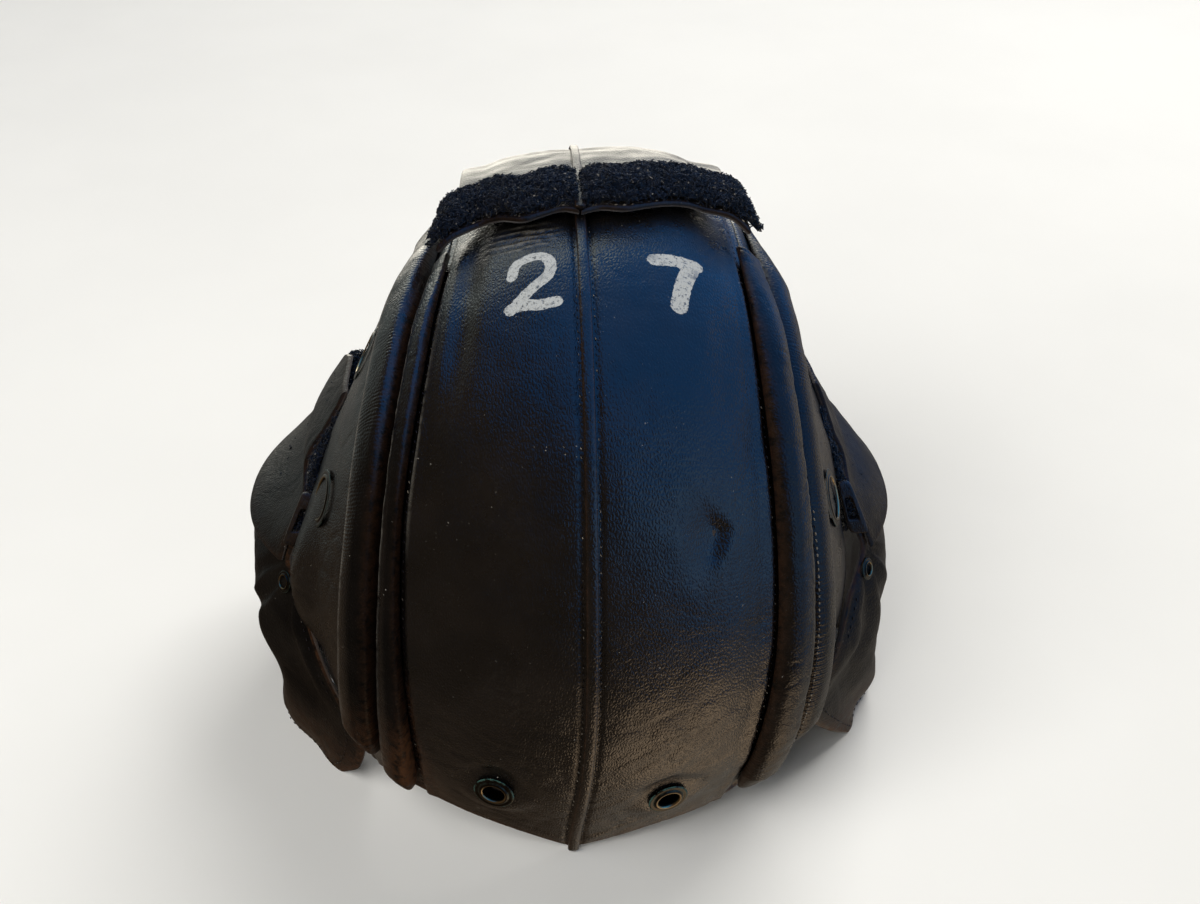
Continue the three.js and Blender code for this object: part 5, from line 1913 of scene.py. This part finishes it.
def make_stage():
    bpy.context.scene.view_settings.view_transform = "Standard"
    make_backdrop()
    soft_light("Key ahead and right", (700, 900, 1500), 1300, 31, "#fffefb")
    soft_light("Fill behind and left", (-800, -900, 1300), 1300, 27, "#fffefb")
    make_floor()

    back = direction(AZIMUTH, ELEVATION)
    lens = bpy.data.cameras.new("Camera")
    lens.lens, lens.sensor_width = LENS, SENSOR
    lens.clip_start, lens.clip_end = 0.01, 20
    lens.shift_x = (IMAGE[0] / 2 - LOOK_AT_PIXEL[0]) / IMAGE[0]
    lens.shift_y = (LOOK_AT_PIXEL[1] - IMAGE[1] / 2) / IMAGE[0]
    camera = link("Camera", lens)
    aim(camera, Vector(LOOK_AT) + back * DISTANCE, LOOK_AT)
    bpy.context.scene.camera = camera


# Settings, operators and panel


def colour_setting(name, description, code):
    return bpy.props.FloatVectorProperty(
        name=name, description=description, default=linear(code), size=3, min=0, max=1, subtype="COLOR"
    )


def length_setting(name, description, millimetres):
    return bpy.props.FloatProperty(
        name=name, description=description, default=millimetres * MM, min=0, precision=5, unit="LENGTH"
    )


class HelmetColours(bpy.types.PropertyGroup):
    leather: colour_setting("Leather", "Crown leather in its dark places", "#080706")
    leather_lift: colour_setting("Leather, faded", "Crown leather where it has faded", "#0f0c0a")
    flap: colour_setting("Flap leather", "Thin leather of the flaps", "#0a0807")
    flap_lift: colour_setting("Flap leather, faded", "Flap leather where it has faded", "#14110e")
    worn: colour_setting("Worn leather", "Bare brown leather along seams and hems", "#4a2f1c")
    # Pale scuffs, and a painted highlight under the brow flap.
    scuff_and_highlight: colour_setting("Scuffs and painted highlight", "Grey film of rubbed leather, also a painted highlight under the brow flap", "#28241f")
    # Painted highlight: thin pale lines on sharp folds and wrinkles.
    crest: colour_setting("Rubbed folds", "Thin pale lines on sharp folds of the leather", "#5a564f")
    dust: colour_setting("Dust", "White dust in the grain", "#8d8880")
    paint: colour_setting("Paint", "Brushed white paint of the digits", "#a7a9a8")
    lining: colour_setting("Lining", "Flesh side of the leather", "#3a3029")
    plush: colour_setting("Plush", "Roots of the pile", "#030408")
    plush_tip: colour_setting("Plush tips", "Bleached tips of the pile", "#11131b")
    brass: colour_setting("Brass", "Rubbed brass of the eyelets", "#8f8163")
    tarnish: colour_setting("Tarnish", "Brown film on the brass", "#2a2620")
    verdigris: colour_setting("Verdigris", "Green salts on the brass", "#36574f")
    thread: colour_setting("Thread", "Clean waxed thread", "#8b8173")
    thread_dirty: colour_setting("Dirty thread", "Thread stained by the leather", "#1a1410")
    floor: colour_setting("Floor", "Paper under the helmet", "#e9e8e5")


class HelmetSizes(bpy.types.PropertyGroup):
    pile_length: length_setting("Pile length", "Length of the plush pile", 1.8)
    pile_thickness: length_setting("Pile thickness", "Width of one lock of hair", 0.32)
    pile_curl: length_setting("Pile curl", "How far a hair's tip bends over", 1.15)
    pile_lock: length_setting("Lock size", "Width of the locks that lean together", 1.5)


class HelmetOperator:
    """What the operators share. Each runs its single functions, and its pair ones for both sides."""

    bl_options = {"REGISTER", "UNDO"}
    single = ()
    pair = ()

    def execute(self, context):
        for make in self.single:
            make()
        for make in self.pair:
            for side in SIDES:
                make(side)
        return {"FINISHED"}


class HELMET_OT_stage(HelmetOperator, bpy.types.Operator):
    """Make the camera, the paper floor and the studio lights"""

    bl_idname = "helmet.stage"
    bl_label = "Studio stage"
    single = (make_stage,)


class HELMET_OT_crown(HelmetOperator, bpy.types.Operator):
    """Make the crown panels and the side panels that hold the helmet's shape"""

    bl_idname = "helmet.crown"
    bl_label = "Crown and side panels"
    pair = (make_crown_panel, make_side_panel)


class HELMET_OT_welts(HelmetOperator, bpy.types.Operator):
    """Make the raised strips over the centre seams of the crown and the brow flap"""

    bl_idname = "helmet.welts"
    bl_label = "Centre welts"
    single = (make_centre_welt, make_brow_welt)


class HELMET_OT_ribs(HelmetOperator, bpy.types.Operator):
    """Make the padded rolls along both sides of the crown"""

    bl_idname = "helmet.ribs"
    bl_label = "Padded rolls"
    pair = (make_rolls,)


class HELMET_OT_brow(HelmetOperator, bpy.types.Operator):
    """Make the brow flap that is turned up over the crown"""

    bl_idname = "helmet.brow"
    bl_label = "Brow flap"
    pair = (make_brow_flap,)


class HELMET_OT_flaps(HelmetOperator, bpy.types.Operator):
    """Make the ear flaps, their slotted tabs and the cheek flaps"""

    bl_idname = "helmet.flaps"
    bl_label = "Ear and cheek flaps"
    pair = (make_ear_flap, make_ear_tab, make_cheek_flap)


class HELMET_OT_plush(HelmetOperator, bpy.types.Operator):
    """Make the plush on the brow flap and inside the ear flaps"""

    bl_idname = "helmet.plush"
    bl_label = "Plush"
    pair = (make_brow_plush, make_ear_plush)


class HELMET_OT_eyelets(HelmetOperator, bpy.types.Operator):
    """Make the brass eyelets of the nape, the side panels and the cheek flaps"""

    bl_idname = "helmet.eyelets"
    bl_label = "Brass eyelets"
    pair = (make_eyelets,)


class HELMET_OT_stitches(HelmetOperator, bpy.types.Operator):
    """Sew the rows of stitches beside the welt, the rolls and the flap edges"""

    bl_idname = "helmet.stitches"
    bl_label = "Stitches"
    pair = (make_seam_stitches, make_brow_stitches, make_cheek_stitches)


STEPS = (
    HELMET_OT_stage,
    HELMET_OT_crown,
    HELMET_OT_welts,
    HELMET_OT_ribs,
    HELMET_OT_brow,
    HELMET_OT_flaps,
    HELMET_OT_plush,
    HELMET_OT_eyelets,
    HELMET_OT_stitches,
)


class HELMET_PT_panel(bpy.types.Panel):
    """The helmet's steps and settings in the sidebar of the 3D view"""

    bl_idname = "HELMET_PT_panel"
    bl_label = "Leather tanker helmet"
    bl_space_type = "VIEW_3D"
    bl_region_type = "UI"
    bl_category = "Helmet"

    def draw(self, context):
        for step in STEPS:
            self.layout.operator(step.bl_idname)
        for group in (context.scene.helmet_sizes, context.scene.helmet_colours):
            column = self.layout.column()
            for name in group.__annotations__:
                column.prop(group, name)


CLASSES = (HelmetColours, HelmetSizes, *STEPS, HELMET_PT_panel)


def register():
    for item in CLASSES:
        bpy.utils.register_class(item)
    bpy.types.Scene.helmet_colours = bpy.props.PointerProperty(type=HelmetColours)
    bpy.types.Scene.helmet_sizes = bpy.props.PointerProperty(type=HelmetSizes)


def unregister():
    del bpy.types.Scene.helmet_sizes
    del bpy.types.Scene.helmet_colours
    for item in reversed(CLASSES):
        bpy.utils.unregister_class(item)


def main():
    """Makes the helmet and its stage, one operator after another."""
    register()
    for step in STEPS:
        getattr(bpy.ops.helmet, step.bl_idname.split(".")[1])()


if __name__ == "__main__":
    main()
